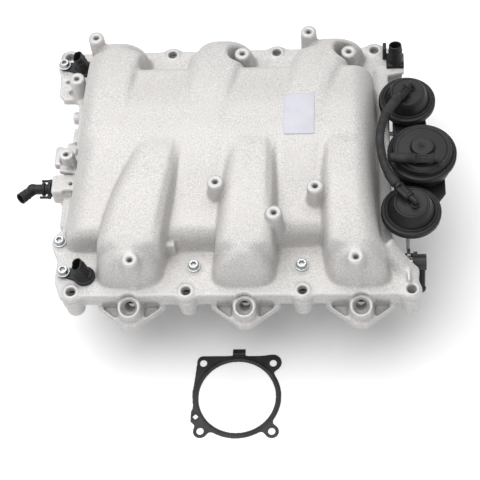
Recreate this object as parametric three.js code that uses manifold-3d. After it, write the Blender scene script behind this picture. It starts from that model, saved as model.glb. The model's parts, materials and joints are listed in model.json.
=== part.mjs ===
// V6 intake manifold with two tumble-flap shafts, a runner changeover shaft and three vacuum actuators.
// Millimetres, +Z up, X along the engine, front bank at -Y.
// The origin is on the floor under the plenum belly.
import * as THREE from "three";
import { mergeVertices } from "three/addons/utils/BufferGeometryUtils.js";
import Module from "manifold-3d";

const wasm = await Module();
wasm.setup();

// ---------------------------------------------------------------- driving dimensions
const GAP = 0.3; // clearance kept between touching pieces
const CYLINDER_PITCH = 106; // spacing of the ports along one bank
const BANK_SHIFT = 14.2; // each bank is moved this far along X, front bank towards +X
const ROW_Y = 137.5; // row of head bolts, measured from the middle plane
const COLLAR_Z = 98; // top of the head bolt collars
const FLANGE_Z = 95; // top of the upper shell's flange
const PARTING_Z = 90; // underside of the upper shell
const LOWER_TOP_Z = 88.8; // top of the lower shell
const SKIRT_Z = 76; // underside of the lower shell's rim
const PORT_FACE_Z = 64; // faces that sit on the cylinder heads
const CROWN = 54; // height of the runner crowns over the flange
const WALL = 4.5; // casting wall
const BOLT_HOLE_R = 4.2;
const COLLAR_R = 7.6;
const TUMBLE_Y = 101; // tumble shafts, measured from the middle plane
const TUMBLE_Z = 82;
const CHANGEOVER_Y = 5;
const CHANGEOVER_Z = 79;
const SHAFT_R = 4;
const BUSH_R = 7;
const BUSH_LENGTH = 8;
const SWING = Math.PI / 3; // every shaft turns 60 degrees
const TUMBLE_LEVER = 13;
const CHANGEOVER_LEVER = 14;
const PORT_SIZE = [42, 39]; // along X, along Y
const PORT_Y = 107.3;
const THROTTLE_R = 36.5;
const THROTTLE_BOLTS = [33.5, 35]; // half spacing across, half spacing up
const THROTTLE_Z = 43;
const THROTTLE_FACE_X = -164;
const GASKET_AT = [6.5, -198.6]; // the spare throttle gasket lies flat in front of the manifold
const RIGHT_WALL_X = 141.5; // outer face of the upper shell beside the actuators
const BELLY = { x0: -152, x1: 150, y: 82 };
const LABEL = { x: 68.5, y: 21.5, halfWidth: 14.2, halfLength: 22.5, thick: 0.6 }; // on the middle rear runner

const columns = [-155, -155 + CYLINDER_PITCH, -155 + 2 * CYLINDER_PITCH, 155];
const banks = [
  { name: "front", side: -1, shift: BANK_SHIFT },
  { name: "rear", side: 1, shift: -BANK_SHIFT },
];
for (const bank of banks) {
  bank.collars = columns.map((x) => x + bank.shift);
  bank.ports = bank.collars.slice(0, 3).map((x) => x + 52.8);
}
const [front, rear] = banks;

// Runner centre lines and half widths at four places along Y; each hump runs from its port inward.
const STATIONS = [-130, -75, -20, 110];
const runners = [
  { bank: front, x: [-88, -80.5, -67, -60], half: [29.5, 31, 25, 22] },
  { bank: front, x: [17, 20.8, 23, 30], half: [29, 25, 21.5, 22] },
  { bank: front, x: [123.8, 115.3, 115, 114], half: [29, 24, 22.5, 23] },
  { bank: rear, x: [-125, -120, -118, -113], half: [26, 26, 26, 30.5] },
  { bank: rear, x: [-29, -27, -25, -10], half: [26, 26, 26, 30.5] },
  { bank: rear, x: [69, 69, 69, 93], half: [25, 25, 25, 31] },
];
const LEFT_EDGE = [-152, -151, -146, -142.5];

// ---------------------------------------------------------------- solids
function solidOf(geometry) {
  geometry.deleteAttribute("normal");
  geometry.deleteAttribute("uv");
  const merged = mergeVertices(geometry, 1e-4);
  return new wasm.Manifold(
    new wasm.Mesh({
      numProp: 3,
      vertProperties: new Float32Array(merged.attributes.position.array),
      triVerts: new Uint32Array(merged.index.array),
    }),
  );
}
const join = (...solids) => solids.flat(Infinity).reduce((a, b) => a.add(b));
const cut = (body, ...tools) => body.subtract(join(tools));

function box(x0, x1, y0, y1, z0, z1) {
  const g = new THREE.BoxGeometry(x1 - x0, y1 - y0, z1 - z0);
  return solidOf(g.translate((x0 + x1) / 2, (y0 + y1) / 2, (z0 + z1) / 2));
}
function taper(a, b, ra, rb, sides = 14) {
  const from = new THREE.Vector3(...a);
  const along = new THREE.Vector3(...b).sub(from);
  const g = new THREE.CylinderGeometry(rb, ra, along.length(), sides);
  g.translate(0, along.length() / 2, 0);
  const turn = new THREE.Quaternion().setFromUnitVectors(
    new THREE.Vector3(0, 1, 0),
    along.clone().normalize(),
  );
  return solidOf(g.applyQuaternion(turn).translate(...a));
}
const rod = (a, b, r, sides) => taper(a, b, r, r, sides);
const upright = (x, y, z0, z1, r, sides) => rod([x, y, z0], [x, y, z1], r, sides);
const crosswise = (x0, x1, y, z, r, sides) => rod([x0, y, z], [x1, y, z], r, sides);

function roundedShape(x0, x1, y0, y1, r) {
  const s = new THREE.Shape();
  s.moveTo(x0 + r, y0);
  s.lineTo(x1 - r, y0);
  s.absarc(x1 - r, y0 + r, r, -Math.PI / 2, 0);
  s.lineTo(x1, y1 - r);
  s.absarc(x1 - r, y1 - r, r, 0, Math.PI / 2);
  s.lineTo(x0 + r, y1);
  s.absarc(x0 + r, y1 - r, r, Math.PI / 2, Math.PI);
  s.lineTo(x0, y0 + r);
  s.absarc(x0 + r, y0 + r, r, Math.PI, 1.5 * Math.PI);
  return s;
}
function extruded(shape, z0, z1, curveSegments = 3) {
  const g = new THREE.ExtrudeGeometry(shape, { depth: z1 - z0, bevelEnabled: false, curveSegments });
  return solidOf(g.translate(0, 0, z0));
}
// The shape's own plane becomes YZ, and it is swept from x0 to x1.
function extrudedX(shape, x0, x1, curveSegments = 3) {
  const g = new THREE.ExtrudeGeometry(shape, { depth: x1 - x0, bevelEnabled: false, curveSegments });
  const basis = new THREE.Matrix4().makeBasis(
    new THREE.Vector3(0, 1, 0),
    new THREE.Vector3(0, 0, 1),
    new THREE.Vector3(1, 0, 0),
  );
  return solidOf(g.applyMatrix4(basis).translate(x0, 0, 0));
}
const outline = (points) => new THREE.Shape(points.map(([x, y]) => new THREE.Vector2(x, y)));
function turned(profile, x, y, z, sides = 18) {
  const points = profile.map(([r, h]) => new THREE.Vector2(r, h));
  return solidOf(new THREE.LatheGeometry(points, sides).rotateX(Math.PI / 2).translate(x, y, z));
}
// A round bar along a smooth line through the points.
function bar(points, r, sides, steps) {
  const line = new THREE.CatmullRomCurve3(points.map((p) => new THREE.Vector3(...p)), false, "centripetal");
  const section = new THREE.Shape();
  for (let i = 0; i < sides; i++) {
    const a = (2 * Math.PI * i) / sides;
    section[i ? "lineTo" : "moveTo"](r * Math.cos(a), r * Math.sin(a));
  }
  return solidOf(new THREE.ExtrudeGeometry(section, { steps, extrudePath: line, bevelEnabled: false }));
}
// A solid between a flat underside and a height function over a rectangle.
function reliefSolid(x0, x1, y0, y1, step, bottom, height) {
  const nx = Math.round((x1 - x0) / step);
  const ny = Math.round((y1 - y0) / step);
  const position = [];
  const index = [];
  const at = (i, j, layer) => (layer * (ny + 1) + j) * (nx + 1) + i;
  for (const layer of [0, 1])
    for (let j = 0; j <= ny; j++)
      for (let i = 0; i <= nx; i++) {
        const x = x0 + ((x1 - x0) * i) / nx;
        const y = y0 + ((y1 - y0) * j) / ny;
        position.push(x, y, layer ? height(x, y) : bottom);
      }
  const quad = (a, b, c, d) => index.push(a, b, c, a, c, d);
  for (let j = 0; j < ny; j++)
    for (let i = 0; i < nx; i++) {
      quad(at(i, j, 1), at(i + 1, j, 1), at(i + 1, j + 1, 1), at(i, j + 1, 1));
      quad(at(i, j, 0), at(i, j + 1, 0), at(i + 1, j + 1, 0), at(i + 1, j, 0));
    }
  for (let i = 0; i < nx; i++) {
    quad(at(i, 0, 0), at(i + 1, 0, 0), at(i + 1, 0, 1), at(i, 0, 1));
    quad(at(i + 1, ny, 0), at(i, ny, 0), at(i, ny, 1), at(i + 1, ny, 1));
  }
  for (let j = 0; j < ny; j++) {
    quad(at(nx, j, 0), at(nx, j + 1, 0), at(nx, j + 1, 1), at(nx, j, 1));
    quad(at(0, j + 1, 0), at(0, j, 0), at(0, j, 1), at(0, j + 1, 1));
  }
  const g = new THREE.BufferGeometry();
  g.setAttribute("position", new THREE.Float32BufferAttribute(position, 3));
  g.setIndex(index);
  return solidOf(g);
}

// ---------------------------------------------------------------- materials
const finish = (color, roughness, metalness) => () =>
  new THREE.MeshStandardMaterial({ color, roughness, metalness });
const castAlloy = finish(0xd9d8d6, 0.6, 0.7);
const blackPlastic = finish(0x2b2b30, 0.5, 0);
const darkRubber = finish(0x232326, 0.7, 0);
const zincSteel = finish(0xb9bcbe, 0.35, 0.9);
const bareSteel = finish(0x8d8f92, 0.4, 0.9);
const bronze = finish(0xa8865a, 0.45, 0.8);
const blackCoating = finish(0x26262a, 0.45, 0.3);
const labelFilm = finish(0xd5d5de, 0.5, 0);
const insertPlastic = finish(0x3a3a3c, 0.6, 0);

const manifold = new THREE.Group();
function addPiece(name, solid, material) {
  const made = solid.getMesh();
  const g = new THREE.BufferGeometry();
  g.setAttribute("position", new THREE.BufferAttribute(new Float32Array(made.vertProperties), 3));
  g.setIndex(new THREE.BufferAttribute(new Uint32Array(made.triVerts), 1));
  g.computeVertexNormals();
  const piece = new THREE.Mesh(g, material());
  piece.name = name;
  manifold.add(piece);
}

// ---------------------------------------------------------------- runner relief
// The smooth curve through the values given at the four stations.
function along(values, y) {
  const t = Math.min(Math.max(y, STATIONS[0] - 5), STATIONS[3] + 25);
  return values.reduce((total, value, i) => {
    const others = STATIONS.filter((_, j) => j !== i);
    return total + others.reduce((w, place) => (w * (t - place)) / (STATIONS[i] - place), value);
  }, 0);
}
const limited = (t, top = 1) => Math.min(Math.max(t, 0), top);
const smoothStep = (t) => limited(t) ** 2 * (3 - 2 * limited(t));
// 1 in the middle of a pad and 0 at its outline, where either distance reaches 1.
function dome(across, ahead, roundness) {
  const reach = Math.cbrt(limited(across, 2) ** 3 + limited(ahead, 2) ** 3);
  return reach >= 1 ? 0 : (1 - reach ** roundness) ** (1 / roundness);
}
// Each runner sinks a little on its way out, then bends down to its port.
const PORT_END = { y: 134, bend: 20 };
const DROOP = { front: 17, rear: 5 };
function runnerHeight(runner, x, y) {
  const forward = runner.bank.side * y;
  const across = Math.abs(x - along(runner.x, y)) / along(runner.half, y);
  const level = CROWN - DROOP[runner.bank.name] * limited((forward - 45) / 72, 1.3) ** 1.7;
  const sunk = 1 - smoothStep((14 - forward) / 95);
  return level * sunk * dome(across, 1 - (PORT_END.y - forward) / PORT_END.bend, 2.8);
}
// The closed ends form one plateau: level at the rear, sinking in front between the front runners.
const PLATEAU = { front: -95.5, rear: 91.5, sink: 104, step: 29 };
function plateauHeight(x, y) {
  const inward = y - PLATEAU.front - 4 * smoothStep((x - 20) / 60);
  const rise = PLATEAU.step + (CROWN - 0.6 - PLATEAU.step) * smoothStep(inward / PLATEAU.sink);
  const ends = Math.max(1 - inward / 20, 1 - (PLATEAU.rear - y) / 10);
  const sides = Math.max(1 - (x - along(LEFT_EDGE, y)) / 30, 1 - (RIGHT_WALL_X - x) / 26);
  return (rise - 7.5 * smoothStep((y - 30) / 60)) * dome(sides, ends, 2.3);
}
const humpHeights = (x, y) => runners.map((r) => runnerHeight(r, x, y));
const relief = (x, y) => FLANGE_Z + Math.max(plateauHeight(x, y), ...humpHeights(x, y));
// Both surfaces of the shell use one grid of this area and cell size, so the wall never closes up.
const RELIEF_AREA = [-152, 152, -136, 136, 9.5];
function innerRelief(x, y) {
  let lowest = Infinity;
  for (const dx of [-WALL, 0, WALL])
    for (const dy of [-WALL, 0, WALL]) lowest = Math.min(lowest, relief(x + dx, y + dy));
  return lowest <= FLANGE_Z + WALL ? PARTING_Z - 1 : lowest - WALL;
}

// ---------------------------------------------------------------- the two shells
const rim = [
  [-152, -147], [178, -147], [178, -114], [166, -110.5], [157, -92], [154, -80], [154, 111.5],
  [172, 111.5], [172, 134], [152, 136], [150, 147], [-180, 147], [-180, 110],
  [-162, 88], [-156, 70], [-156, 24], [-150.6, 20], [-150.6, -38], [-156, -42],
  [-156, -70], [-163, -78], [-163, -92], [-158, -104], [-158, -126], [-152, -132],
];
const shellScrews = [
  ["left", -156.4, -84],
  ["middle", -28.5, -112],
  ["right", 70.5, -112],
];
const bosses = [
  // x, y, top, foot
  [-132.5, 121.7, 146, 90.5], [-144, 92, 120, 90.5], [-146, 2, 120, 90.5], [11.9, 105.2, 137, 90.5],
  [76.7, 123, 146, 90.5], [115.4, 108, 133, 90.5], [-6.5, -55, 152, 120], [83.8, -61, 152, 120],
  [47, -86, 148, 96], [-82.4, -124.1, 132, 96], [119.5, -123.3, 132, 96],
];
const scooped = [bosses[3], bosses[5]]; // these stand in a recess in a runner's shoulder
const scoop = ([x, y, top], extra) => upright(x, y, top - 20 - extra, 170, 12 + extra, 14);
const sensorSeats = [
  { name: "front", x: -129.5, y: -121.5, screw: [-149, -118] },
  { name: "rear", x: -152.5, y: 121, screw: [-172.5, 124.6] },
];
const SENSOR_Z = 96;

function eachPort(make) {
  return banks.flatMap((bank) => bank.ports.map((x) => make(bank, x)));
}
function headBolts(make) {
  return banks.flatMap((bank) => bank.collars.map((x) => make(x, bank.side * ROW_Y)));
}
// Room beside the runners: the straight right wall behind the actuators, the sensors and the screw heads.
function reliefClearance() {
  return join(
    box(RIGHT_WALL_X, 170, -93, 95, FLANGE_Z, 170),
    box(-160, -150.3, -38, 20, PARTING_Z, 170),
    sensorSeats.map((s) => upright(s.x, s.y, FLANGE_Z, 170, 11, 14)),
    shellScrews.map(([, x, y]) => upright(x, y, FLANGE_Z, 170, 7.2, 12)),
  );
}
// The scoop in the flange's edge that lets an injector reach its seat in the lower shell.
function injectorScoop(bank, x) {
  return rod([x, bank.side * 140.7, 82], [x, bank.side * 160, 102.7], 9, 12);
}
// The hollow over a port that a tumble flap swings up into.
function portMouth(bank, x) {
  const [y0, y1] = [86.5, 118].map((y) => bank.side * y);
  return box(x - 19, x + 19, Math.min(y0, y1), Math.max(y0, y1), PARTING_Z - 1, FLANGE_Z - 0.8);
}
function upperShell() {
  const solid = join(
    extruded(outline(rim), PARTING_Z, FLANGE_Z),
    cut(
      reliefSolid(...RELIEF_AREA, PARTING_Z + 1, relief),
      reliefClearance(),
      scooped.map((b) => scoop(b, 0)),
    ),
    headBolts((x, y) => upright(x, y, PARTING_Z, COLLAR_Z, COLLAR_R, 12)),
    bosses.map(([x, y, top, foot]) => taper([x, y, foot], [x, y, top], 8.6, 7.6, 12)),
    shellScrews.map(([, x, y]) => upright(x, y, PARTING_Z, FLANGE_Z + 1.5, 7.2, 12)),
    sensorSeats.map((s) => upright(s.x, s.y, PARTING_Z, SENSOR_Z, 11, 14)),
    sensorSeats.map((s) => upright(...s.screw, PARTING_Z, SENSOR_Z, 5.2, 12)),
    box(-172, -150, 0, 14, PARTING_Z, 104),
  );
  return cut(
    solid,
    cut(
      reliefSolid(...RELIEF_AREA, PARTING_Z - 2, innerRelief),
      box(RIGHT_WALL_X - WALL, 170, -98, 98, 80, 170),
      scooped.map((b) => scoop(b, WALL)),
    ),
    eachPort(portMouth),
    eachPort(injectorScoop),
    headBolts((x, y) => upright(x, y, PARTING_Z - 1, COLLAR_Z + 1, BOLT_HOLE_R, 10)),
    bosses.map(([x, y, top]) => upright(x, y, top - 14, top + 1, 2.5, 6)),
    shellScrews.map(([, x, y]) => upright(x, y, PARTING_Z - 1, FLANGE_Z + 3, 3.4, 12)),
    sensorSeats.map((s) => upright(s.x, s.y, PARTING_Z + 1, SENSOR_Z + 1, 7.4, 12)),
    sensorSeats.map((s) => upright(...s.screw, PARTING_Z + 1, SENSOR_Z + 1, 2.9, 12)),
    box(-168, -154, 4, 10, 96, 105),
  );
}

const INJECTOR = { y: 150, z: 92, toY: 122, toZ: 62, r: 8 };
const SEAL = { x0: -149.9, x1: 151.5, y: 134, width: 3 };
function portPlate(bank, x) {
  const s = bank.side;
  const shape = outline([
    [x - 33, s * 128], [x - 8, s * 162], [x + 8, s * 162],
    [x + 33, s * 128], [x + 33, s * 92], [x - 33, s * 92],
  ]);
  return extruded(shape, PORT_FACE_Z, SKIRT_Z + 1);
}
function injectorTower(bank, x) {
  const [y0, y1] = [141, 159].map((y) => bank.side * y);
  return box(x - 11, x + 11, Math.min(y0, y1), Math.max(y0, y1), PORT_FACE_Z + 1, LOWER_TOP_Z - 1);
}
function lowerShell() {
  const [acrossBolt, upBolt] = THROTTLE_BOLTS;
  const throttleBolts = (make) =>
    [-1, 1].flatMap((a) => [-1, 1].map((b) => make(a * acrossBolt, THROTTLE_Z + b * upBolt)));
  const portHole = (bank, x) => {
    const [w, d] = PORT_SIZE;
    const y = bank.side * PORT_Y;
    const mouth = roundedShape(x - w / 2, x + w / 2, y - d / 2, y + d / 2, 4);
    return extruded(mouth, PORT_FACE_Z - 1, LOWER_TOP_Z + 1, 2);
  };
  const solid = join(
    extruded(outline(rim), SKIRT_Z, LOWER_TOP_Z),
    extruded(roundedShape(BELLY.x0, BELLY.x1, -BELLY.y, BELLY.y, 24), 10, SKIRT_Z + 1),
    extruded(roundedShape(BELLY.x0 + 8, BELLY.x1 - 8, 8 - BELLY.y, BELLY.y - 8, 18), 0, 11),
    headBolts((x, y) => upright(x, y, PORT_FACE_Z, SKIRT_Z + 1, 9, 12)),
    eachPort(portPlate),
    eachPort(injectorTower),
    extrudedX(roundedShape(-42.5, 42.5, 0.5, 87.5, 12), THROTTLE_FACE_X, BELLY.x0 + 4),
    box(-172, -150.6, -29, -8, 76, COLLAR_Z),
  );
  const hollow = (inset, r) =>
    roundedShape(BELLY.x0 + inset, BELLY.x1 - inset, inset - BELLY.y, BELLY.y - inset, r);
  const cavity = cut(
    join(extruded(hollow(6, 18), 15, LOWER_TOP_Z + 1), extruded(hollow(14, 14), 5, 16)),
    box(-150, 150, 73.5, 79, 68, 83.2),
    box(-150, 150, -79, -73.5, 68, 83.2),
  );
  return cut(
    solid,
    cavity,
    eachPort(portHole),
    eachPort((bank, x) => {
      const { y, z, toY, toZ, r } = INJECTOR;
      return rod([x, bank.side * y, z], [x, bank.side * toY, toZ], r, 12);
    }),
    headBolts((x, y) => upright(x, y, PORT_FACE_Z - 1, LOWER_TOP_Z + 1, BOLT_HOLE_R, 10)),
    shellScrews.map(([, x, y]) => upright(x, y, SKIRT_Z + 2, LOWER_TOP_Z + 1, 3.4, 12)),
    crosswise(THROTTLE_FACE_X - 1, BELLY.x0 + 8, 0, THROTTLE_Z, THROTTLE_R, 24),
    throttleBolts((y, z) => crosswise(THROTTLE_FACE_X - 1, THROTTLE_FACE_X + 10, y, z, 3.2, 8)),
    banks.map((b) => crosswise(-185, 185, b.side * TUMBLE_Y, TUMBLE_Z, SHAFT_R + GAP, 12)),
    banks.map((b) => {
      const [left, right] = tumbleBushes(b);
      const seat = (x0, x1) => crosswise(x0, x1, b.side * TUMBLE_Y, TUMBLE_Z, BUSH_R + GAP, 16);
      return [seat(-200, left + BUSH_LENGTH + GAP), seat(right - GAP, 200)];
    }),
    crosswise(140, 160, CHANGEOVER_Y, CHANGEOVER_Z, BUSH_R + GAP, 16),
    bracketScrews.map(([y, z]) => crosswise(153, 160, y, z, 3, 8)),
    crosswise(-180, -158, -18.5, 88, 6.8, 16),
    upright(-153, -18.5, 79, COLLAR_Z + 1, 1.6, 8),
  );
}

// ---------------------------------------------------------------- sealing and inner pieces
function frameRing(x0, x1, y0, y1, width, z0, z1) {
  const shape = roundedShape(x0, x1, y0, y1, 8);
  shape.holes.push(roundedShape(x0 + width, x1 - width, y0 + width, y1 - width, 6));
  return extruded(shape, z0, z1);
}
const changeoverFlaps = runners.map((r) => along(r.x, CHANGEOVER_Y)).sort((a, b) => a - b);
const WINDOW = [36, 42];
function runnerInsert() {
  const tray = extruded(roundedShape(-143, 141, -75.5, 75.5, 14), 83.6, 86.2);
  const [w, d] = WINDOW;
  const windows = changeoverFlaps.map((x) =>
    box(x - w / 2, x + w / 2, CHANGEOVER_Y - d / 2, CHANGEOVER_Y + d / 2, 80, 90));
  const ribs = changeoverFlaps.slice(1).map((x, i) => {
    const middle = (x + changeoverFlaps[i]) / 2;
    return box(middle - 1.2, middle + 1.2, -66, 66, 86, 112);
  });
  const bearing = box(-142, -136.5, CHANGEOVER_Y - 8, CHANGEOVER_Y + 8, 72, 84);
  return cut(
    join(tray, ribs, bearing),
    windows,
    crosswise(-139.5, -130, CHANGEOVER_Y, CHANGEOVER_Z, SHAFT_R + GAP, 14),
  );
}
// A plate on a sleeve that slips over a shaft.
function flap(x, y, z, width, halfLength) {
  const sleeve = crosswise(x - width / 2, x + width / 2, y, z, SHAFT_R + 2.2, 12);
  const plate = box(x - width / 2, x + width / 2, y - halfLength, y + halfLength, z - 1.1, z + 1.1);
  return cut(join(sleeve, plate), crosswise(x - width, x + width, y, z, SHAFT_R + GAP, 12));
}
function bush(x0, y, z) {
  const x1 = x0 + BUSH_LENGTH;
  return cut(crosswise(x0, x1, y, z, BUSH_R, 16), crosswise(x0 - 1, x1 + 1, y, z, SHAFT_R + GAP, 12));
}
function tumbleBushes(bank) {
  return bank === front ? [-158, 155] : [-174, 144];
}

// ---------------------------------------------------------------- actuators, rods and levers
// sign is the side of the shaft, along Y, that the arm with the pin points to.
const actuators = [
  {
    name: "front", x: 170.5, y: -64.5, r: 28, cap: 17, base: 104, rim: 110, top: 127,
    shaftY: -TUMBLE_Y, shaftZ: TUMBLE_Z, sign: 1, lever: TUMBLE_LEVER,
    armX: [173, 176.5], pinX: [165, 174], hubX: [171.4, 184], eyeX: 168.5,
  },
  {
    name: "changeover", x: 182, y: -8, r: 32.5, cap: 24, base: 104, rim: 122, top: 132,
    shaftY: CHANGEOVER_Y, shaftZ: CHANGEOVER_Z, sign: -1, lever: CHANGEOVER_LEVER,
    armX: [172, 175.5], pinX: [175, 186], hubX: [165, 178], eyeX: 182,
  },
  {
    name: "rear", x: 170.7, y: 62, r: 27.5, cap: 17, base: 104, rim: 110, top: 127,
    shaftY: TUMBLE_Y, shaftZ: TUMBLE_Z, sign: -1, lever: TUMBLE_LEVER,
    armX: [173, 176.5], pinX: [165, 174], hubX: [171.4, 184], eyeX: 168.5,
  },
];
const CAN_WALL = 2.4;
const CAN_JOINT = 1.6; // the cap sits this far over the middle of the rim
const ROD_R = 2;
const ROD_HOLE_R = 4.6; // the wire is cranked, so its way into the can is wide
const PIN_R = 2;
const ROD_BEND_Z = 87;

// The pin at rest hangs half of the swing below the shaft's own level.
function pinAtRest(a) {
  return [a.shaftY + a.sign * a.lever * Math.cos(SWING / 2), a.shaftZ - a.lever * Math.sin(SWING / 2)];
}
function actuatorBase(a) {
  const h = a.rim - a.base;
  return turned(
    [[ROD_HOLE_R, 0], [a.r - 4, 0], [a.r - 3, h - 2.4], [a.r, h - 2.2], [a.r, h + 0.6], [a.r - 5.6, h + 0.6],
      [a.r - 3 - CAN_WALL - 1, CAN_WALL], [ROD_HOLE_R, CAN_WALL], [ROD_HOLE_R, 0]],
    a.x, a.y, a.base);
}
function actuatorCap(a) {
  const h = a.top - a.rim;
  const z0 = 0.6 + GAP;
  return turned(
    [[a.r - 4.6, z0], [a.r, z0], [a.r, z0 + 2.6], [a.r - 3, z0 + 3], [a.cap + 3, h - 2], [a.cap, h], [0, h],
      [0, h - CAN_WALL], [a.cap - 1, h - CAN_WALL], [a.r - 5.4, z0 + 2], [a.r - 4.6, z0]],
    a.x, a.y, a.rim);
}
// Wire with a slotted eye at the lever's pin and a round plate that the vacuum lifts.
function actuatorRod(a) {
  const [pinY, pinZ] = pinAtRest(a);
  const plateZ = a.base + CAN_WALL + 0.6;
  const eyeX = a.eyeX;
  const eyeY = a.shaftY + (a.sign * a.lever * (1 + Math.cos(SWING / 2))) / 2;
  const slot = PIN_R + 0.45;
  const eye = cut(
    extrudedX(roundedShape(eyeY - 5.5, eyeY + 5.5, pinZ - 4.6, pinZ + 4.6, 4), eyeX - 1.5, eyeX + 1.5),
    extrudedX(roundedShape(eyeY - 3.4, eyeY + 3.4, pinZ - slot, pinZ + slot, 2.3), eyeX - 3, eyeX + 3),
  );
  const top = [a.x, a.y, plateZ + 1];
  const bend = [eyeX, a.y, ROD_BEND_Z];
  const offset = Math.abs(a.y - eyeY) > 1;
  const foot = offset ? [eyeX, eyeY + 4.6 * Math.sign(a.y - eyeY), pinZ + 1.5] : [eyeX, eyeY, pinZ + 4];
  const wire = offset
    ? [rod(top, bend, ROD_R, 8), rod([eyeX, a.y, ROD_BEND_Z + 1.2], foot, ROD_R, 8)]
    : [rod(top, foot, ROD_R, 8)];
  return join(wire, eye, upright(a.x, a.y, plateZ, plateZ + 2, a.cap - 2.6, 16));
}
function lever(a) {
  const [pinY, pinZ] = pinAtRest(a);
  const [x0, x1] = a.armX;
  const [hubX0, hubX1] = a.hubX;
  const arm = new THREE.Shape();
  const angle = Math.atan2(pinZ - a.shaftZ, pinY - a.shaftY);
  const [ux, uy] = [Math.cos(angle), Math.sin(angle)];
  arm.moveTo(a.shaftY - uy * 5, a.shaftZ + ux * 5);
  arm.absarc(a.shaftY, a.shaftZ, 5, angle + Math.PI / 2, angle + 1.5 * Math.PI, false);
  arm.lineTo(pinY + uy * 3.4, pinZ - ux * 3.4);
  arm.absarc(pinY, pinZ, 3.4, angle - Math.PI / 2, angle + Math.PI / 2, false);
  const parts = [
    crosswise(hubX0, hubX1, a.shaftY, a.shaftZ, 7.6, 16),
    extrudedX(arm, x0, x1, 4),
    crosswise(...a.pinX, pinY, pinZ, PIN_R, 10),
  ];
  if (a.name !== "changeover") {
    const ball = [180, a.shaftY - a.sign * 15, a.shaftZ - 22];
    parts.push(rod([180, a.shaftY, a.shaftZ], ball, 3.4, 8));
    parts.push(solidOf(new THREE.SphereGeometry(4.4, 10, 6).translate(...ball)));
  }
  const bore = crosswise(hubX0 - 1, hubX1 - 4, a.shaftY, a.shaftZ, SHAFT_R + GAP, 12);
  return cut(join(parts), bore);
}
function returnSpring(a) {
  const turns = 3;
  const from = a.base + CAN_WALL + 0.6 + 2 + GAP + 1;
  const to = a.top - CAN_WALL - GAP - 1;
  const radius = a.cap - 6;
  const points = [];
  const steps = turns * 9;
  for (let i = 0; i <= steps; i++) {
    const t = (2 * Math.PI * i) / 9;
    points.push([a.x + radius * Math.cos(t), a.y + radius * Math.sin(t), from + ((to - from) * i) / steps]);
  }
  return bar(points, 0.9, 4, steps);
}

// The bracket is one shelf under the three cans on a wall that screws to the shell's right end.
const SHELF = { z0: 100.6, z1: 103.6 };
const bracketScrews = [
  [44, 82.4],
  [-40, 82.4],
];
function actuatorBracket() {
  const shelf = outline([
    [157.5, -84], [176, -84], [190, -60], [204, -40], [204, 4], [190, 30], [186, 76], [176, 84], [157.5, 84],
  ]);
  const walls = [box(157.2, 160.4, -50, -14, 77, SHELF.z1), box(157.2, 160.4, 22, 84, 77, SHELF.z1)];
  return cut(
    join(extruded(shelf, SHELF.z0, SHELF.z1), walls),
    actuators.map((a) => upright(a.x, a.y, 96, 106, ROD_HOLE_R + 2, 14)),
    bracketScrews.map(([y, z]) => crosswise(150, 170, y, z, 3, 8)),
  );
}

// ---------------------------------------------------------------- hoses, sensors and small fittings
const capPort = (a) => [a.x, a.y, a.top];
const hoseRoute = [
  [160, 47, 133.5], [151, 31, 137], [145.5, 14, 140], [143, -4, 141.5],
  [144.5, -21, 140], [149, -36, 136.5], [156, -47, 133.2],
];
function nippleConnector(a, end) {
  const [x, y, z] = capPort(a);
  const head = [x + 3, y + (a.name === "rear" ? 4 : -2.5), z + 5.2];
  const tail = [end[0], end[1], end[2]];
  const boss = upright(head[0], head[1], z + GAP, z + 8.6, 4.4, 14);
  return join(boss, rod(head, tail, 4, 12), solidOf(new THREE.SphereGeometry(4.6, 10, 6).translate(...head)));
}
function largeHoseElbow() {
  const a = actuators[1];
  const z = a.top + 5;
  const y = a.y - 15;
  return join(
    rod([a.x + 14, y, z], [a.x - 20, y + 1, z + 1], 4.2, 12),
    taper([a.x - 19, y + 1, z + 1], [a.x - 30.5, y + 1.5, z + 0.6], 5.2, 4.8, 12),
    upright(a.x + 6, y, a.top + GAP, z, 3.6, 12),
  );
}
function positionSensor(s) {
  const z = SENSOR_Z + GAP;
  const [sx, sy] = s.screw;
  const ear = join(
    upright(s.x, s.y, z, z + 3.4, 10.4, 12),
    box(sx, s.x, Math.min(sy, s.y) - 2, Math.max(sy, s.y) + 2, z, z + 3),
    upright(sx, sy, z, z + 3, 5.2, 12),
  );
  const socket = taper([s.x, s.y, z + 2], [s.x - 4.5, s.y + 2, z + 19], 6.6, 5, 12);
  const mouth = rod([s.x - 2.2, s.y + 1, z + 9.5], [s.x - 5, s.y + 2.3, z + 21], 3.8, 8);
  const plug = upright(s.x, s.y, PARTING_Z + 2, z + 1, 7, 10);
  return cut(join(ear, socket, plug), mouth, upright(sx, sy, z - 1, z + 4, 3.2, 12));
}
function capScrew(x, y, top, length) {
  const washer = upright(x, y, top, top + 1.2, 6.2, 14);
  const head = upright(x, y, top + 1, top + 5.4, 4.6, 12);
  const recess = upright(x, y, top + 3, top + 7, 2.2, 6);
  return cut(join(washer, head, upright(x, y, top - length, top + 2, 2.5, 8)), recess);
}
function endScrew(y, z) {
  const head = crosswise(160.7, 165, y, z, 4.8, 12);
  const shank = crosswise(153.4, 162, y, z, 2.4, 8);
  return cut(join(head, shank), crosswise(162.5, 168, y, z, 2.2, 6));
}
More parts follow.
